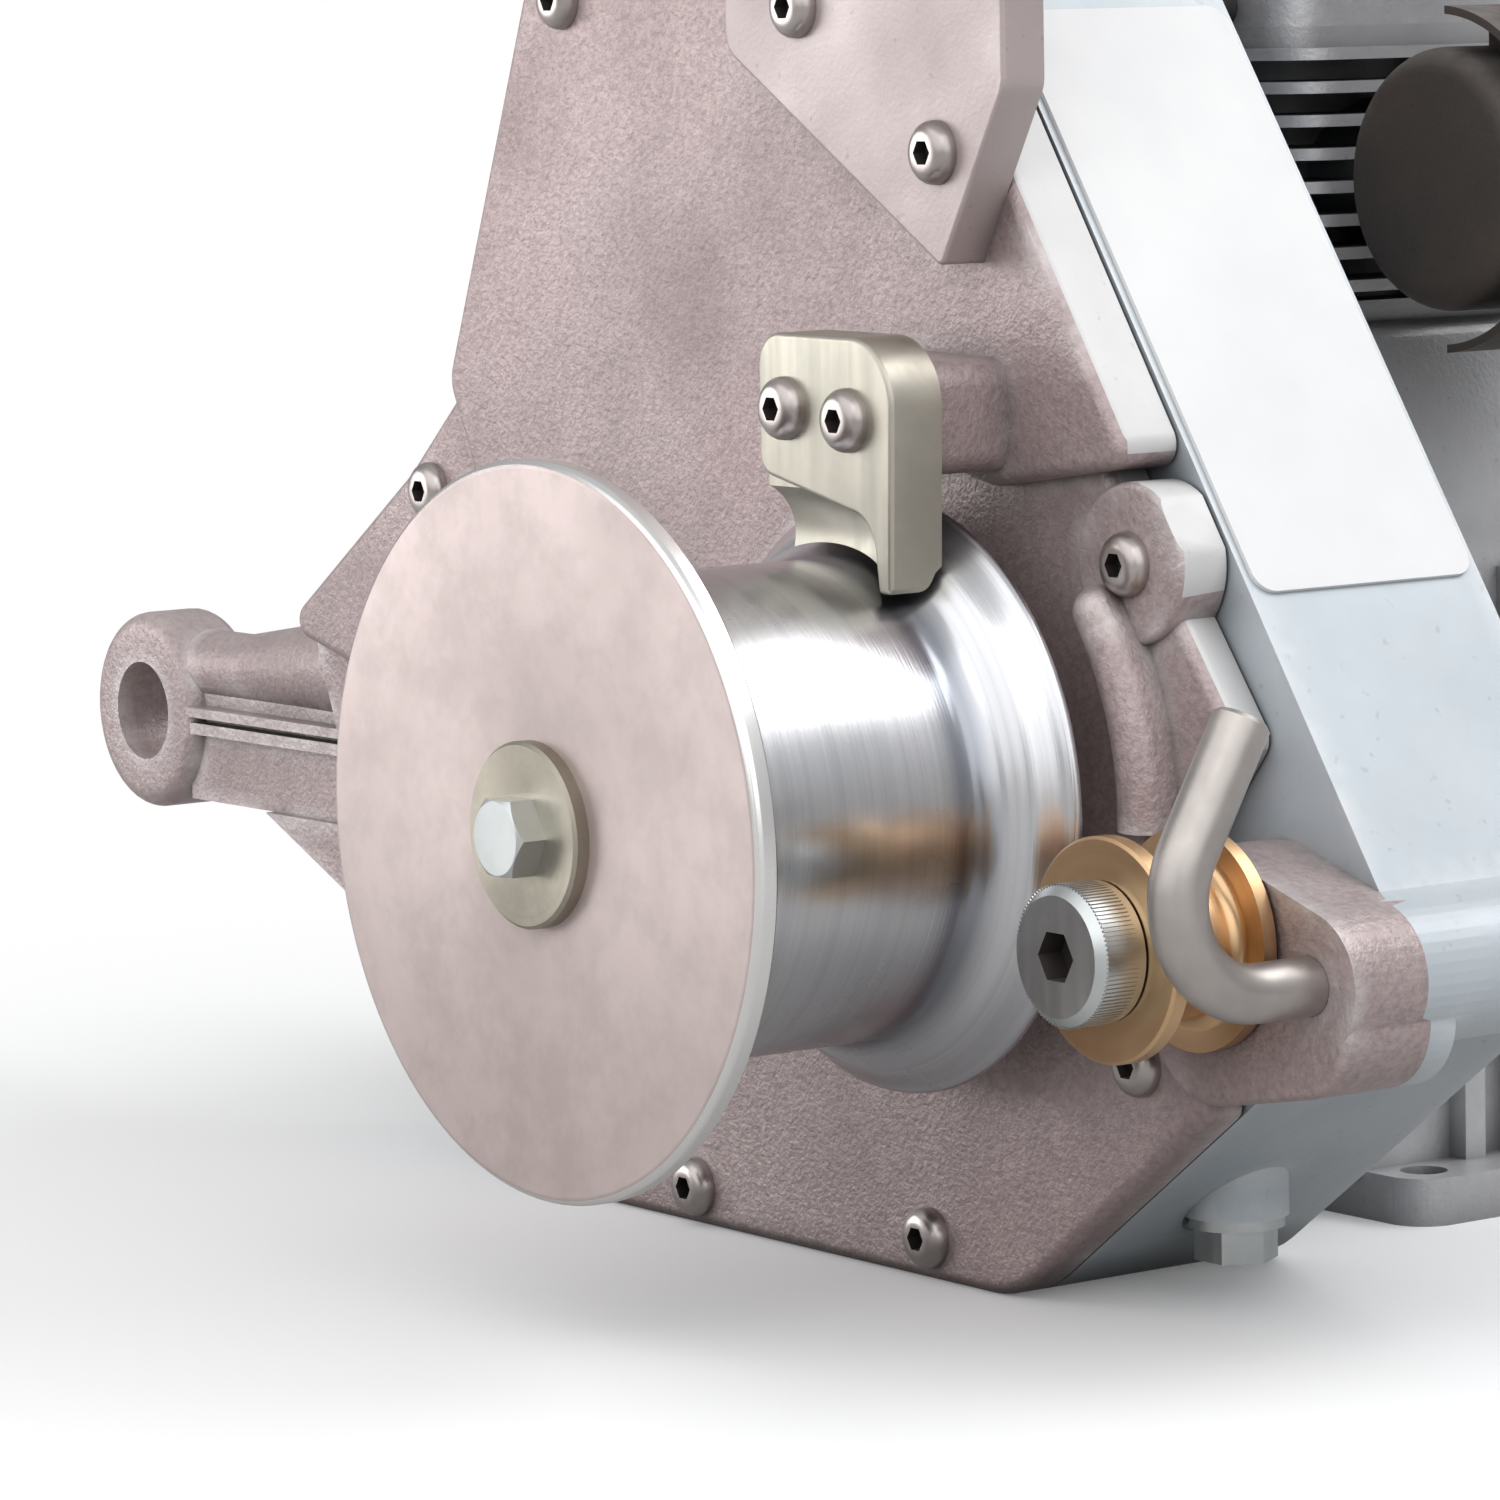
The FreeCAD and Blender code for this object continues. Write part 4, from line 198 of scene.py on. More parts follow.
def make_brushed_lines():
    """Straight rolling or grinding marks along the part's height."""
    tree, given, made = new_group("brushed lines", [("Pitch", 1.0)], ["Height", "Tone"])
    stretch = tree.nodes.new("ShaderNodeMapping")
    stretch.inputs["Scale"].default_value = (1.0, 1.0, 0.03)
    wire(tree, scaled(tree, object_place(tree), given.outputs["Pitch"]), stretch.inputs["Vector"])
    wire(tree, noise(tree, stretch.outputs[0], 1800.0, 2.0), made.inputs["Height"])
    wire(tree, noise(tree, stretch.outputs[0], 300.0, 3.0, 0.6), made.inputs["Tone"])
    return tree


def make_edge_rub():
    """Brighter metal where a casting's edge is rubbed; the mesh carries how near an edge is."""
    tree, given, made = new_group("edge rub", [("Amount", 1.0), ("Patch", 1.0)], ["Mask"])
    near = tree.nodes.new("ShaderNodeAttribute")
    near.attribute_name = "edge_near"
    patches = noise(tree, scaled(tree, object_place(tree), given.outputs["Patch"]), 90.0, 4.0, 0.7)
    worn = math_node(tree, "MULTIPLY", near.outputs["Fac"], ramp(tree, patches, 0.3, 0.65))
    clipped = math_node(tree, "MINIMUM", math_node(tree, "MULTIPLY", worn, given.outputs["Amount"]), 1.0)
    wire(tree, clipped, made.inputs["Mask"])
    return tree


def make_dust():
    """Thin dust on faces that look up, broken by noise."""
    tree, given, made = new_group("settled dust", [("Amount", 1.0)], ["Mask"])
    face = tree.nodes.new("ShaderNodeNewGeometry")
    split = tree.nodes.new("ShaderNodeSeparateXYZ")
    wire(tree, face.outputs["Normal"], split.inputs[0])
    up = ramp(tree, split.outputs["Z"], 0.3, 1.0)
    broken = ramp(tree, noise(tree, object_place(tree), 60.0, 5.0, 0.65), 0.35, 0.7)
    patches = math_node(tree, "MULTIPLY", up, broken)
    wire(tree, math_node(tree, "MULTIPLY", patches, given.outputs["Amount"]), made.inputs["Mask"])
    return tree


CAST_SKIN = make_cast_skin()
TURNED_LINES = make_turned_lines()
BRUSHED_LINES = make_brushed_lines()
EDGE_RUB = make_edge_rub()
DUST = make_dust()


def place_group(tree, group, **values):
    node = tree.nodes.new("ShaderNodeGroup")
    node.node_tree = group
    for label, value in values.items():
        node.inputs[label.replace("_", " ")].default_value = value
    return node


def blend_colour(tree, mask, first, second):
    """Colour that goes from first to second with the mask; each is a colour or a socket."""
    node = tree.nodes.new("ShaderNodeMix")
    node.data_type = "RGBA"
    wire(tree, mask, node.inputs["Factor"])
    for socket, value in ((node.inputs[6], first), (node.inputs[7], second)):
        if isinstance(value, bpy.types.NodeSocket):
            wire(tree, value, socket)
        else:
            socket.default_value = (*value, 1.0)
    return node.outputs[2]


def bump(tree, shader, height, strength, depth):
    node = tree.nodes.new("ShaderNodeBump")
    node.inputs["Strength"].default_value = strength
    node.inputs["Distance"].default_value = depth
    wire(tree, height, node.inputs["Height"])
    wire(tree, node.outputs[0], shader.inputs["Normal"])


def new_finish(name, metallic=0.0, roughness=0.5):
    material = bpy.data.materials.new(name)
    material.use_nodes = True
    tree = material.node_tree
    shader = tree.nodes["Principled BSDF"]
    shader.inputs["Metallic"].default_value = metallic
    shader.inputs["Roughness"].default_value = roughness
    return material, tree, shader


# Finishes
BLUSH = (0.58, 0.38, 0.38)
DUST_COLOUR = (0.70, 0.67, 0.64)
# Colour of the painted dark reflection band round the drum's barrel
PAINTED_BAND_COLOUR = (0.22, 0.24, 0.28)
# Reach of the painted shade in corners and recesses
PAINTED_SHADE_REACH = 0.010
BAND_EDGE = 0.004
CAST_DEPTH = 0.0004
MOULDED_DEPTH = 0.0002
TOOL_MARK_DEPTH = 0.0001


def darker(colour, share):
    return [channel * share for channel in colour]


def cast_finish(name, pale, dark, rubbed, metallic, rough, grain=0.35, rub=0.8, dust=0.25, pebble=0.0):
    """Casting: stained and pebbled skin, rubbed edges, dust on top and painted shade darkening the corners.
    """
    material, tree, shader = new_finish(name, metallic)
    skin = place_group(tree, CAST_SKIN, Size=1.0)
    edges = place_group(tree, EDGE_RUB, Amount=rub)
    settled = place_group(tree, DUST, Amount=dust)
    colour = blend_colour(tree, skin.outputs["Stain"], pale, dark)
    blush = ramp(tree, noise(tree, object_place(tree), 13.0, 2.0), 0.50, 0.72, 0.0, 0.5 * pebble)
    colour = blend_colour(tree, blush, colour, BLUSH)
    specks = math_node(tree, "MULTIPLY", skin.outputs["Pebbles"], pebble)
    colour = blend_colour(tree, specks, colour, darker(dark, 0.66))
    pits = math_node(tree, "MULTIPLY", skin.outputs["Pits"], 0.35)
    colour = blend_colour(tree, pits, colour, darker(dark, 0.55))
    colour = blend_colour(tree, edges.outputs["Mask"], colour, rubbed)
    colour = blend_colour(tree, settled.outputs["Mask"], colour, DUST_COLOUR)
    # Painted shade: colour darkened in corners and recesses, found by ambient occlusion
    corner = tree.nodes.new("ShaderNodeAmbientOcclusion")
    corner.samples = 6
    corner.inputs["Distance"].default_value = PAINTED_SHADE_REACH
    painted_corner_shade = ramp(tree, corner.outputs["AO"], 0.25, 0.80, 0.75, 0.0)
    colour = blend_colour(tree, painted_corner_shade, colour, darker(dark, 0.12))
    wire(tree, colour, shader.inputs["Base Color"])
    gloss = ramp(tree, skin.outputs["Stain"], 0, 1, rough - 0.05, rough + 0.06)
    wire(tree, gloss, shader.inputs["Roughness"])
    bump(tree, shader, skin.outputs["Height"], grain, CAST_DEPTH)
    return material


def turned_finish(name, pale, dark, rough, centre, pitch=1.0, depth=0.12, mottle=0.0, drawn=0.5,
                  metallic=1.0, painted_band_span=None):
    """Metal turned on a lathe about an axis along Y, with the gloss drawn out around it."""
    material, tree, shader = new_finish(name, metallic)
    around = tree.nodes.new("ShaderNodeTangent")
    around.direction_type = "RADIAL"
    around.axis = "Y"
    wire(tree, around.outputs[0], shader.inputs["Tangent"])
    shader.inputs["Anisotropic"].default_value = drawn
    lines = place_group(tree, TURNED_LINES, Centre_X=centre[0], Centre_Z=centre[1], Pitch=pitch)
    smudge = ramp(tree, noise(tree, object_place(tree), 30.0, 4.0, 0.6), 0.35, 0.7)
    colour = blend_colour(tree, lines.outputs["Tone"], pale, dark)
    if mottle:
        spots = ramp(tree, noise(tree, object_place(tree), 95.0, 5.0, 0.7), 0.42, 0.62, 0.0, mottle)
        colour = blend_colour(tree, spots, colour, darker(dark, 0.72))
        clouds = ramp(tree, noise(tree, object_place(tree), 16.0, 3.0, 0.6), 0.40, 0.66, 0.0, mottle)
        colour = blend_colour(tree, clouds, colour, darker(dark, 0.80))
    # Painted reflection: a dark band round the axis between two depths, put in the colour
    if painted_band_span:
        depth_place = tree.nodes.new("ShaderNodeSeparateXYZ")
        wire(tree, object_place(tree), depth_place.inputs[0])
        start, end = painted_band_span
        rise = ramp(tree, depth_place.outputs["Y"], start, start + BAND_EDGE)
        fall = ramp(tree, depth_place.outputs["Y"], end - BAND_EDGE, end, 1.0, 0.0)
        band = math_node(tree, "MULTIPLY", math_node(tree, "MULTIPLY", rise, fall), 0.75)
        colour = blend_colour(tree, band, colour, PAINTED_BAND_COLOUR)
    wire(tree, colour, shader.inputs["Base Color"])
    wire(tree, ramp(tree, smudge, 0, 1, rough, rough + 0.10), shader.inputs["Roughness"])
    bump(tree, shader, lines.outputs["Height"], depth, TOOL_MARK_DEPTH)
    return material


def brushed_finish(name, pale, dark, rough, depth=0.10):
    """Plated or plain steel with straight tool marks and cloudy tone."""
    material, tree, shader = new_finish(name, 1.0)
    lines = place_group(tree, BRUSHED_LINES, Pitch=1.0)
    cloud = ramp(tree, noise(tree, object_place(tree), 45.0, 4.0, 0.65), 0.3, 0.7)
    wire(tree, blend_colour(tree, cloud, pale, dark), shader.inputs["Base Color"])
    wire(tree, ramp(tree, lines.outputs["Tone"], 0.3, 0.7, rough, rough + 0.12), shader.inputs["Roughness"])
    bump(tree, shader, lines.outputs["Height"], depth, TOOL_MARK_DEPTH)
    return material


def moulded_finish(name, colour, worn, rough, grain=0.2, size=1.0, dust=0.3):
    """Moulded plastic, rubber, coating or cord with a fine grain and dust on top."""
    material, tree, shader = new_finish(name)
    skin = place_group(tree, CAST_SKIN, Size=size)
    settled = place_group(tree, DUST, Amount=dust)
    base = blend_colour(tree, skin.outputs["Stain"], colour, worn)
    base = blend_colour(tree, settled.outputs["Mask"], base, [0.5 * c + 0.25 for c in worn])
    wire(tree, base, shader.inputs["Base Color"])
    gloss = ramp(tree, skin.outputs["Stain"], 0, 1, rough - 0.05, rough + 0.08)
    wire(tree, gloss, shader.inputs["Roughness"])
    bump(tree, shader, skin.outputs["Height"], grain, MOULDED_DEPTH)
    return material


DRUM_CENTRE = (0.0, AXIS_HEIGHT)
FINISHES = {
    "cast_cover": cast_finish("cast cover", (0.50, 0.405, 0.40), (0.38, 0.295, 0.295), (0.72, 0.67, 0.665),
                              0.30, 0.42, grain=0.75, pebble=0.45),
    # Painted highlight: paler plain copy of the cover's cast for its faces turned to the key lamp
    "lit_cover_wall": cast_finish("lit cover wall", (0.68, 0.675, 0.675), (0.62, 0.615, 0.615),
                               (0.74, 0.74, 0.74), 0.10, 0.46, grain=0.06, rub=0.2),
    "case_paint": cast_finish("case coat", (0.54, 0.59, 0.63), (0.47, 0.52, 0.56), (0.74, 0.75, 0.76),
                              0.15, 0.40, grain=0.10, rub=0.6),
    "bracket_plate": cast_finish("bracket plate", (0.52, 0.445, 0.435), (0.42, 0.35, 0.345),
                                 (0.78, 0.76, 0.75), 0.35, 0.42, grain=0.20),
    "engine_cast": cast_finish("engine casting", (0.60, 0.60, 0.61), (0.48, 0.48, 0.50), (0.74, 0.74, 0.75),
                               0.55, 0.45, rub=0.5),
    "friction_iron": cast_finish("friction iron", (0.26, 0.25, 0.25), (0.18, 0.17, 0.17),
                                 (0.40, 0.40, 0.40), 0.7, 0.5),
    "hot_black": cast_finish("heat black", (0.055, 0.052, 0.05), (0.09, 0.07, 0.06),
                             (0.24, 0.22, 0.20), 0.3, 0.6),
    # The drum's dark band near the barrel's root is a painted reflection
    "drum_polish": turned_finish("drum polish", (0.74, 0.74, 0.75), (0.46, 0.46, 0.49), 0.20, DRUM_CENTRE,
                                 depth=0.14, drawn=0.7, painted_band_span=(-0.0685, -0.0565)),
    "disc_satin": turned_finish("disc satin", (0.66, 0.555, 0.535), (0.58, 0.485, 0.465), 0.42, DRUM_CENTRE,
                                0.6, mottle=0.40, metallic=0.5),
    "disc_rim": turned_finish("disc rim", (0.88, 0.87, 0.86), (0.78, 0.77, 0.76), 0.24, DRUM_CENTRE),
    "washer_zinc": turned_finish("washer zinc", (0.52, 0.47, 0.39), (0.40, 0.37, 0.31), 0.36, DRUM_CENTRE,
                                 mottle=0.5),
    "bronze": turned_finish("roller bronze", (0.74, 0.50, 0.29), (0.58, 0.37, 0.20), 0.28, ROLLER_CENTRE),
    "gear_steel": turned_finish("gear steel", (0.50, 0.50, 0.52), (0.38, 0.38, 0.40), 0.30, DRUM_CENTRE),
    "zinc_plate": brushed_finish("zinc plate", (0.52, 0.485, 0.42), (0.40, 0.39, 0.335), 0.40),
    "bolt_zinc": brushed_finish("bolt zinc", (0.64, 0.66, 0.655), (0.48, 0.51, 0.51), 0.28),
    "stainless": brushed_finish("stainless", (0.50, 0.455, 0.44), (0.38, 0.34, 0.325), 0.26),
    "hook_steel": brushed_finish("hook steel", (0.54, 0.50, 0.475), (0.40, 0.37, 0.35), 0.34),
    "socket_shade": moulded_finish("socket shade", (0.020, 0.015, 0.014), (0.035, 0.026, 0.024), 0.55),
    "black_plastic": moulded_finish("black plastic", (0.022, 0.022, 0.024), (0.035, 0.034, 0.034), 0.45),
    "pale_plastic": moulded_finish("tank plastic", (0.72, 0.71, 0.67), (0.66, 0.64, 0.59), 0.40, 0.12),
    "red_plastic": moulded_finish("switch red", (0.52, 0.03, 0.025), (0.42, 0.025, 0.02), 0.30, 0.08),
    "tube_coat": moulded_finish("tube coat", (0.035, 0.035, 0.038), (0.05, 0.05, 0.052), 0.32, 0.10),
    "grip_rubber": moulded_finish("grip rubber", (0.018, 0.018, 0.018), (0.03, 0.03, 0.03), 0.68, 0.35),
    "gasket": moulded_finish("gasket sheet", (0.02, 0.02, 0.02), (0.035, 0.034, 0.033), 0.7, 0.2),
    "label_blank": moulded_finish("blank label", (0.80, 0.80, 0.80), (0.76, 0.76, 0.77), 0.42, 0.05,
                                  dust=0.15),
    "cord": moulded_finish("starter cord", (0.72, 0.70, 0.64), (0.60, 0.58, 0.52), 0.8, 0.5, 2.0),
}

NODE_FINISH = {
    "cast_cover": ["front_cover"],
    "case_paint": ["rear_case"],
    "drum_polish": ["drum"],
    "disc_satin": ["drum_disc"],
    "washer_zinc": ["drum_washer"],
    "zinc_plate": ["rope_guide", "housing_screws"],
    "bolt_zinc": ["roller_bolt", "drum_bolt", "drain_plug", "fill_plug"],
    "hook_steel": ["pigtail_hook"],
    "bracket_plate": ["handle_bracket"],
    "stainless": ["cover_screws", "guide_screws", "bracket_screws"],
    "bronze": ["rope_roller"],
    "gear_steel": ["drum_shaft", "drum_key", "bull_gear", "second_shaft", "second_gear", "first_shaft",
                   "first_gear", "input_pinion", "clutch_drum", "clutch_hub", "clutch_spring",
                   "front_bearing", "rear_bearing", "gear_bearings", "input_bearing", "crankshaft"],
    "engine_cast": ["clutch_housing", "crankcase", "cylinder", "valve_cover", "carburettor"],
    "friction_iron": ["clutch_shoes", "flywheel"],
    "black_plastic": ["fan_shroud", "starter_cover", "starter_reel", "starter_grip", "air_cleaner",
                      "fuel_cap", "throttle_lever", "choke_lever", "spark_plug"],
    "pale_plastic": ["fuel_tank"],
    "red_plastic": ["stop_switch"],
    "hot_black": ["muffler", "muffler_guard"],
    "tube_coat": ["handle_tube"],
    "grip_rubber": ["handle_grip", "shaft_seal"],
    "gasket": ["cover_gasket"],
    "label_blank": ["label_plate"],
    "cord": ["starter_rope"],
}
HIDDEN_NODES = {"drum_shaft", "drum_key", "bull_gear", "second_shaft", "second_gear", "first_shaft",
                "first_gear", "input_pinion", "clutch_hub", "clutch_spring", "front_bearing", "rear_bearing",
                "gear_bearings", "input_bearing", "crankshaft", "clutch_shoes", "clutch_drum", "shaft_seal"}
EDGE_REACH = {"front_cover": 0.004, "rear_case": 0.004, "crankcase": 0.006, "clutch_housing": 0.006,
              "valve_cover": 0.006, "muffler": 0.008}
SHARP_ANGLE = math.radians(32)
MERGE_GAP = 2e-6
SPLIT_ROUNDS = 7
SPLIT_LENGTH = 1.5       # longest edge left, in edge reaches
BODY_OF = {node: body for body, nodes in frame["record"]["behaviour"]["bodies"].items() for node in nodes}


def mark_edge_distance(mesh, reach):
    """Stores edge_near on each vertex: 1 on a sharp edge, 0 at reach from it."""
    hard = [edge for edge in mesh.edges if edge.use_edge_sharp]
    tree = KDTree(max(2 * len(hard), 1))
    points = []
    for edge in hard:
        points += [mesh.vertices[v].co for v in edge.vertices]
    for index, point in enumerate(points):
        tree.insert(point, index)
    tree.balance()
    layer = mesh.attributes.new("edge_near", "FLOAT", "POINT")
    for vertex in mesh.vertices:
        gap = tree.find(vertex.co)[2] if points else None
        layer.data[vertex.index].value = 0.0 if gap is None else max(0.0, 1.0 - gap / reach)


def islands(work):
    """Groups of faces that hang together."""
    left = set(work.faces)
    groups = []
    while left:
        group = [left.pop()]
        for face in group:
            for edge in face.edges:
                for other in edge.link_faces:
                    if other in left:
                        left.remove(other)
                        group.append(other)
        groups.append(group)
    return groups


def pick_case_faces(work):
    """Arm and tip boss keep the cover's cast skin; the box of the case is coated up to a masked line."""
    every_part = work.verts[:] + work.edges[:] + work.faces[:]
    bmesh.ops.bisect_plane(work, geom=every_part, plane_co=(ARM_ROOT, 0, 0), plane_no=(1, 0, 0))
    for face in work.faces:
        middle = face.calc_center_median()
        if middle.y < SEAM or middle.x < ARM_ROOT:
            face.material_index = 1


def pick_cover_walls(work):
    """Load-side edge faces of the cover, flush with the case and turned to the key lamp: painted highlight,
    a paler copy of the cover's colour.
    """
    for face in work.faces:
        middle = face.calc_center_median()
        facing = face.normal.dot(LOAD_WALL_FACING)
        behind_wall = -LOAD_WALL_FACING.dot(middle - LOAD_WALL_FOOT)
        if facing > 0.6 and abs(face.normal.y) < 0.35 and behind_wall < LIT_WALL_REACH:
            face.material_index = 1


def pick_disc_rim(work):
    """Turned rim of the drum's end disc."""
    for face in work.faces:
        middle = face.calc_center_median()
        off_axis = math.hypot(middle.x, middle.z - AXIS_HEIGHT)
        if off_axis > DISC_FACE_EDGE and abs(face.normal.y) < 0.95:
            face.material_index = 1


def pick_sockets(work, radius, depth):
    """Inside of the hex socket in each screw head; the heads look towards -Y."""
    for group in islands(work):
        corners = {vertex for face in group for vertex in face.verts}
        front = min(corner.co.y for corner in corners)
        across = [corner.co.x for corner in corners]
        height = [corner.co.z for corner in corners]
        middle_x = (min(across) + max(across)) / 2
        middle_z = (min(height) + max(height)) / 2
        for face in group:
            middle = face.calc_center_median()
            off_axis = math.hypot(middle.x - middle_x, middle.z - middle_z)
            if off_axis < radius and front + SOCKET_LIP < middle.y < front + depth:
                face.material_index = 1


def pick_small_sockets(work):
    pick_sockets(work, SCREW_SOCKET_R, SCREW_SOCKET_DEPTH)


def pick_bolt_socket(work):
    pick_sockets(work, BOLT_SOCKET_R, BOLT_SOCKET_DEPTH)


SECOND_FINISH = {
    "rear_case": ("cast_cover", pick_case_faces),
    "front_cover": ("lit_cover_wall", pick_cover_walls),
    "drum_disc": ("disc_rim", pick_disc_rim),
    "cover_screws": ("socket_shade", pick_small_sockets),
    "guide_screws": ("socket_shade", pick_small_sockets),
    "bracket_screws": ("socket_shade", pick_small_sockets),
    "roller_bolt": ("socket_shade", pick_bolt_socket),
}


def smooth_copy(node, finish):
    """Merged copy of a CAD node with smooth curves and crisp corners, standing for the node."""
    mesh = bpy.data.meshes.new(node + "_skin")
    work = bmesh.new()
    work.from_mesh(frame["nodes"][node].data)
    bmesh.ops.remove_doubles(work, verts=work.verts, dist=MERGE_GAP)
    reach = EDGE_REACH.get(node)
    if reach:
        for _ in range(SPLIT_ROUNDS):
            long_edges = [edge for edge in work.edges if edge.calc_length() > reach * SPLIT_LENGTH]
            if not long_edges:
                break
            bmesh.ops.subdivide_edges(work, edges=long_edges, cuts=1)
            bmesh.ops.triangulate(work, faces=[face for face in work.faces if len(face.verts) > 3])
    for edge in work.edges:
        edge.smooth = len(edge.link_faces) == 2 and edge.calc_face_angle(0) < SHARP_ANGLE
    for face in work.faces:
        face.smooth = True
    second_name, pick = SECOND_FINISH.get(node, (None, None))
    if pick:
        pick(work)
    work.to_mesh(mesh)
    work.free()
    if reach:
        mark_edge_distance(mesh, reach)
    mesh.materials.append(finish)
    if second_name:
        mesh.materials.append(FINISHES[second_name])
    piece = bpy.data.objects.new(node + "_skin", mesh)
    scene.collection.objects.link(piece)
    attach(piece, BODY_OF[node])
    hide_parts(node)


for finish_name, node_names in NODE_FINISH.items():
    for node_name in node_names:
        if node_name in HIDDEN_NODES:
            node_mesh = frame["nodes"][node_name].data
            node_mesh.materials.clear()
            node_mesh.materials.append(FINISHES[finish_name])
        else:
            smooth_copy(node_name, FINISHES[finish_name])


# Knurled side of the roller bolt's head
KNURL_RIDGES = 96
KNURL_RIDGE = (0.0004, 0.0004, 0.0066)
KNURL_INSET = 0.0014


def make_knurl_tree():
    """Ring of straight ridges about Z, turned to lie about Y and moved to its place."""
    tree = bpy.data.node_groups.new("knurl ring", "GeometryNodeTree")
    tree.interface.new_socket("Ridges", in_out="INPUT", socket_type="NodeSocketInt")
    tree.interface.new_socket("Radius", in_out="INPUT", socket_type="NodeSocketFloat")
    tree.interface.new_socket("Ridge Size", in_out="INPUT", socket_type="NodeSocketVector")
    tree.interface.new_socket("Place", in_out="INPUT", socket_type="NodeSocketVector")
    tree.interface.new_socket("Finish", in_out="INPUT", socket_type="NodeSocketMaterial")
    tree.interface.new_socket("Geometry", in_out="OUTPUT", socket_type="NodeSocketGeometry")
    given = tree.nodes.new("NodeGroupInput")
    made = tree.nodes.new("NodeGroupOutput")
    circle = tree.nodes.new("GeometryNodeMeshCircle")
    wire(tree, given.outputs["Ridges"], circle.inputs["Vertices"])
    wire(tree, given.outputs["Radius"], circle.inputs["Radius"])
    ridge = tree.nodes.new("GeometryNodeMeshCube")
    wire(tree, given.outputs["Ridge Size"], ridge.inputs["Size"])
    step = math_node(tree, "DIVIDE", 2 * math.pi, given.outputs["Ridges"])
    index = tree.nodes.new("GeometryNodeInputIndex")
    turn = tree.nodes.new("ShaderNodeCombineXYZ")
    wire(tree, math_node(tree, "MULTIPLY", index.outputs[0], step), turn.inputs["Z"])
    repeat = tree.nodes.new("GeometryNodeInstanceOnPoints")
    wire(tree, circle.outputs["Mesh"], repeat.inputs["Points"])
    wire(tree, ridge.outputs["Mesh"], repeat.inputs["Instance"])
    wire(tree, turn.outputs[0], repeat.inputs["Rotation"])
    lay = tree.nodes.new("GeometryNodeTransform")
    lay.inputs["Rotation"].default_value = (math.pi / 2, 0, 0)
    wire(tree, repeat.outputs["Instances"], lay.inputs["Geometry"])
    wire(tree, given.outputs["Place"], lay.inputs["Translation"])
    real = tree.nodes.new("GeometryNodeRealizeInstances")
    wire(tree, lay.outputs["Geometry"], real.inputs["Geometry"])
    coat = tree.nodes.new("GeometryNodeSetMaterial")
    wire(tree, real.outputs["Geometry"], coat.inputs["Geometry"])
    wire(tree, given.outputs["Finish"], coat.inputs["Material"])
    wire(tree, coat.outputs["Geometry"], made.inputs["Geometry"])
    return tree


def grow(name, tree, values):
    """Plain mesh object made by a node tree from the named values."""
    piece = bpy.data.objects.new(name, bpy.data.meshes.new(name))
    scene.collection.objects.link(piece)
    maker = piece.modifiers.new("maker", "NODES")
    maker.node_group = tree
    for item in tree.interface.items_tree:
        if item.item_type == "SOCKET" and item.in_out == "INPUT":
            maker[item.identifier] = values[item.name]
    piece.update_tag()
    seen = piece.evaluated_get(bpy.context.evaluated_depsgraph_get())
    mesh = bpy.data.meshes.new_from_object(seen)
    piece.modifiers.remove(maker)
    piece.data = mesh
    return piece


bolt_corners = [vertex.co for vertex in frame["nodes"]["roller_bolt"].data.vertices]
bolt_front = min(corner.y for corner in bolt_corners)
bolt_radius = max(corner.x for corner in bolt_corners) - ROLLER_CENTRE[0]
knurl_middle = bolt_front + KNURL_INSET + KNURL_RIDGE[2] / 2
knurl = grow("roller_bolt_knurl", make_knurl_tree(), {
    "Ridges": KNURL_RIDGES, "Radius": bolt_radius, "Ridge Size": KNURL_RIDGE,
    "Place": (ROLLER_CENTRE[0], knurl_middle, ROLLER_CENTRE[1]), "Finish": FINISHES["bolt_zinc"]})
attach(knurl, BODY_OF["roller_bolt"])


# Studio
WINCH_MIDDLE = Vector((-0.03, 0.0, 0.12))
LAMPS = [
    ("key", (1.5, -0.35, 1.15), (2.0, 2.0), 13.0),
    ("front", (0.1, -1.6, 1.2), (2.8, 2.0), 18.0),
    ("fill", (-1.5, -1.1, 0.35), (1.0, 0.8), 10.0),
    ("rear", (0.6, 1.0, 1.55), (1.4, 0.8), 11.0),
]


def add_lamp(name, place, size, power):
    """Soft rectangular lamp that looks at the middle of the winch."""
    data = bpy.data.lights.new(name, "AREA")
    data.shape = "RECTANGLE"
    data.size, data.size_y = size
    data.energy = power
    lamp = bpy.data.objects.new(name, data)
    lamp.location = place
    lamp.rotation_euler = (WINCH_MIDDLE - Vector(place)).to_track_quat("-Z", "Y").to_euler()
    scene.collection.objects.link(lamp)


MIRRORED_WHITE = 0.25
ROOM_COLOUR = (0.96, 0.98, 1.0, 1.0)


def backdrop_share(tree, rays):
    """How much of the white backdrop a ray meets: all of it when seen or through glass, a part in metal."""
    mirrored = math_node(tree, "MULTIPLY", rays.outputs["Is Glossy Ray"], MIRRORED_WHITE)
    seen = math_node(tree, "MAXIMUM", rays.outputs["Is Camera Ray"], rays.outputs["Is Transmission Ray"])
    return math_node(tree, "MAXIMUM", seen, mirrored)


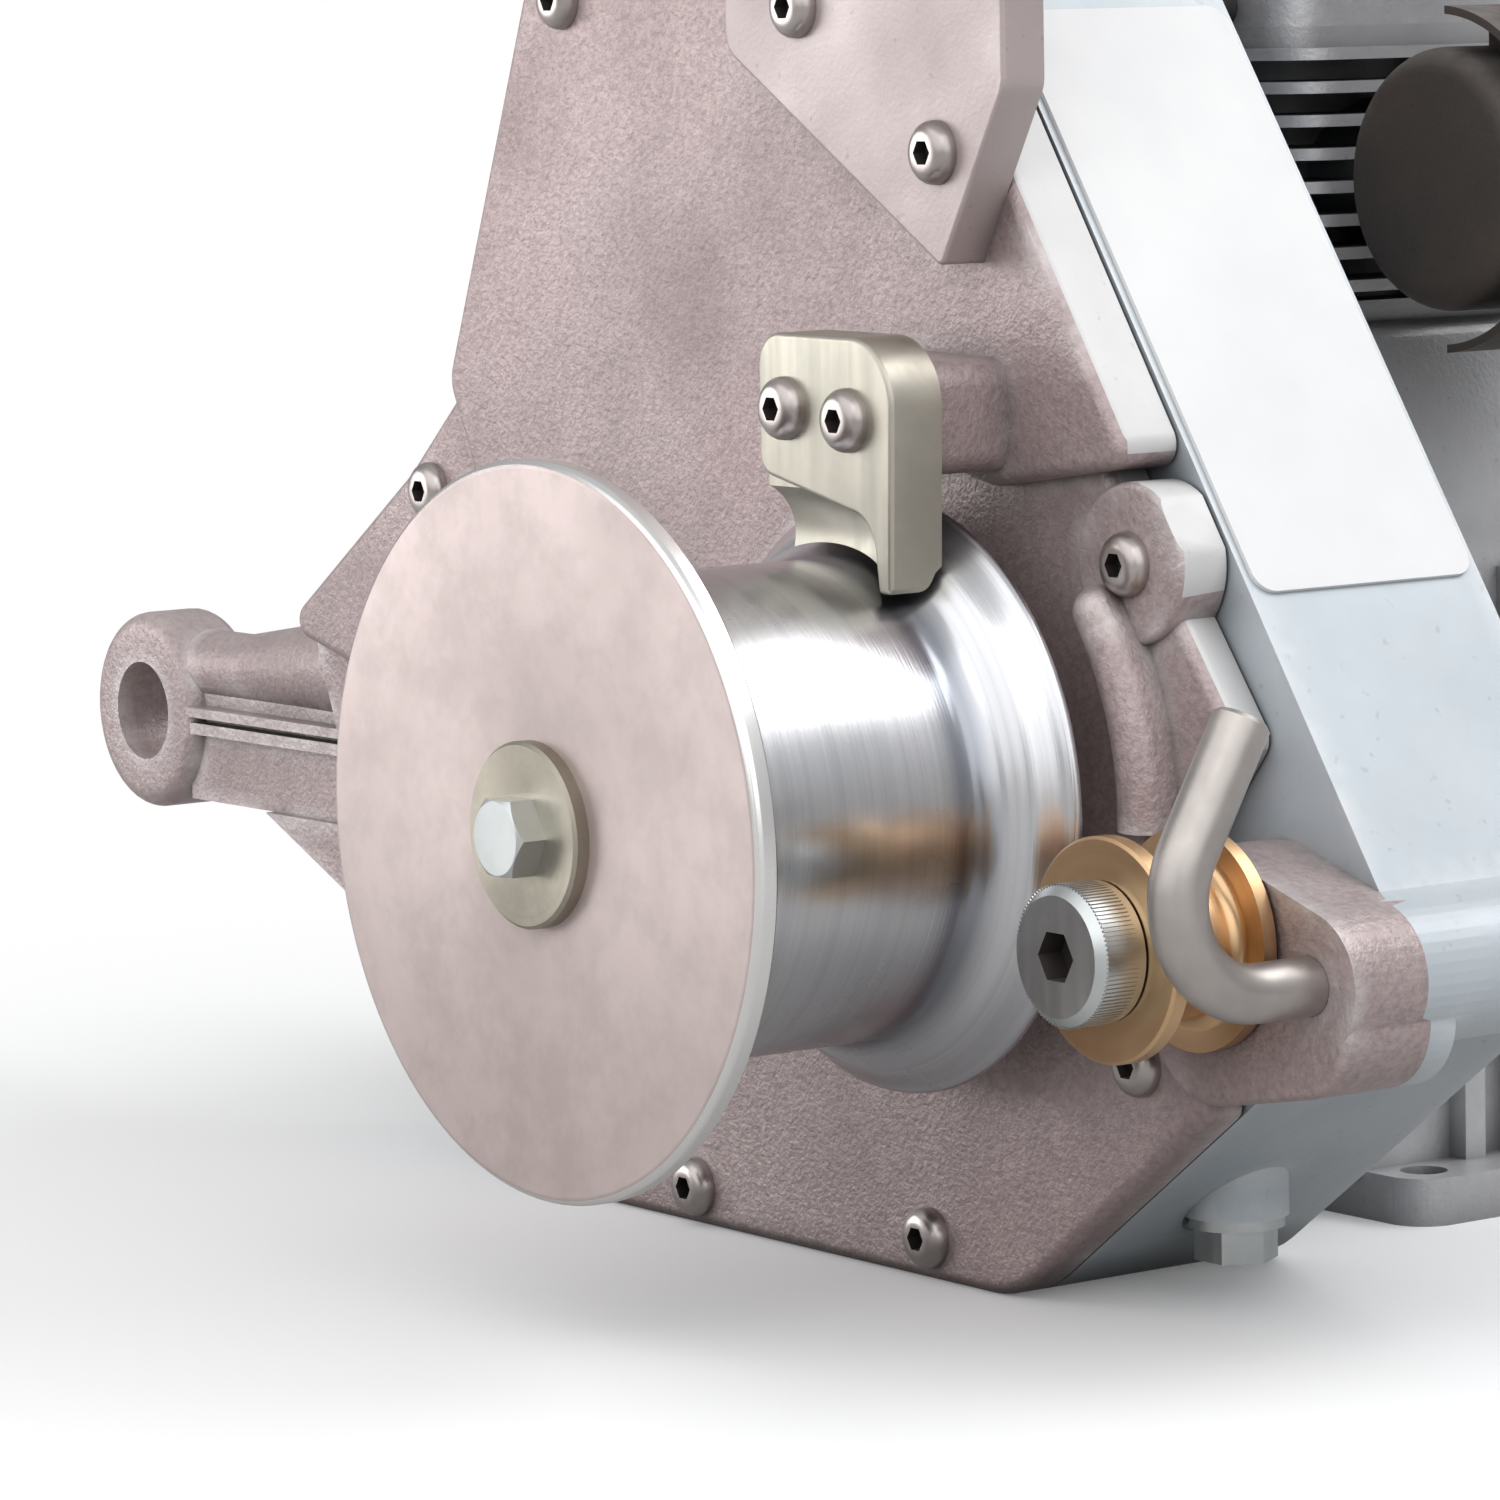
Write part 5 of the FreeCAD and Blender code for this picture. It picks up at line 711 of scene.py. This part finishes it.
def make_world():
    """White backdrop; a room with a pale ceiling and a darker horizon lights the winch."""
    world = bpy.data.worlds.new("studio")
    world.use_nodes = True
    tree = world.node_tree
    tree.nodes.clear()
    rays = tree.nodes.new("ShaderNodeLightPath")
    direction = tree.nodes.new("ShaderNodeTexCoord")
    split = tree.nodes.new("ShaderNodeSeparateXYZ")
    wire(tree, direction.outputs["Generated"], split.inputs[0])
    height = ramp(tree, split.outputs["Z"], 0.05, 0.75, 0.16, 0.72)
    from_right = ramp(tree, split.outputs["X"], -0.8, 0.9, 0.55, 1.25)
    room = tree.nodes.new("ShaderNodeBackground")
    wire(tree, math_node(tree, "MULTIPLY", height, from_right), room.inputs["Strength"])
    white = tree.nodes.new("ShaderNodeBackground")
    choose = tree.nodes.new("ShaderNodeMixShader")
    wire(tree, backdrop_share(tree, rays), choose.inputs[0])
    wire(tree, room.outputs[0], choose.inputs[1])
    wire(tree, white.outputs[0], choose.inputs[2])
    room.inputs["Color"].default_value = ROOM_COLOUR
    white.inputs["Color"].default_value = (1, 1, 1, 1)
    end = tree.nodes.new("ShaderNodeOutputWorld")
    wire(tree, choose.outputs[0], end.inputs["Surface"])
    scene.world = world


FLOOR_REACH = 3.0
SHADOW_NEAR = 0.26
SHADOW_FAR = 0.52
SHADOW_LIFT = 0.12
FLOOR_LIT = (0.97, 0.97, 0.97)
FLOOR_BOUNCE = (0.36, 0.355, 0.35)


def make_floor():
    """Floor that takes the shadow near the winch and fades to plain white for the camera."""
    mesh = bpy.data.meshes.new("floor")
    work = bmesh.new()
    bmesh.ops.create_grid(work, x_segments=1, y_segments=1, size=FLOOR_REACH)
    work.to_mesh(mesh)
    work.free()
    floor = bpy.data.objects.new("floor", mesh)
    material, tree, shader = new_finish("pale floor", 0.0, 0.8)
    shader.inputs["Specular IOR Level"].default_value = 0.0
    rays = tree.nodes.new("ShaderNodeLightPath")
    share = backdrop_share(tree, rays)
    tone = blend_colour(tree, share, FLOOR_BOUNCE, FLOOR_LIT)
    wire(tree, tone, shader.inputs["Base Color"])
    far = tree.nodes.new("ShaderNodeVectorMath")
    far.operation = "LENGTH"
    wire(tree, object_place(tree), far.inputs[0])
    whiter = ramp(tree, far.outputs["Value"], SHADOW_NEAR, SHADOW_FAR, SHADOW_LIFT, 1.0)
    fade = math_node(tree, "MULTIPLY", whiter, share)
    white = tree.nodes.new("ShaderNodeEmission")
    white.inputs["Strength"].default_value = 1.0
    choose = tree.nodes.new("ShaderNodeMixShader")
    wire(tree, fade, choose.inputs[0])
    wire(tree, shader.outputs[0], choose.inputs[1])
    wire(tree, white.outputs[0], choose.inputs[2])
    wire(tree, choose.outputs[0], tree.nodes["Material Output"].inputs["Surface"])
    mesh.materials.append(material)
    scene.collection.objects.link(floor)


make_world()
make_floor()
for lamp_values in LAMPS:
    add_lamp(*lamp_values)
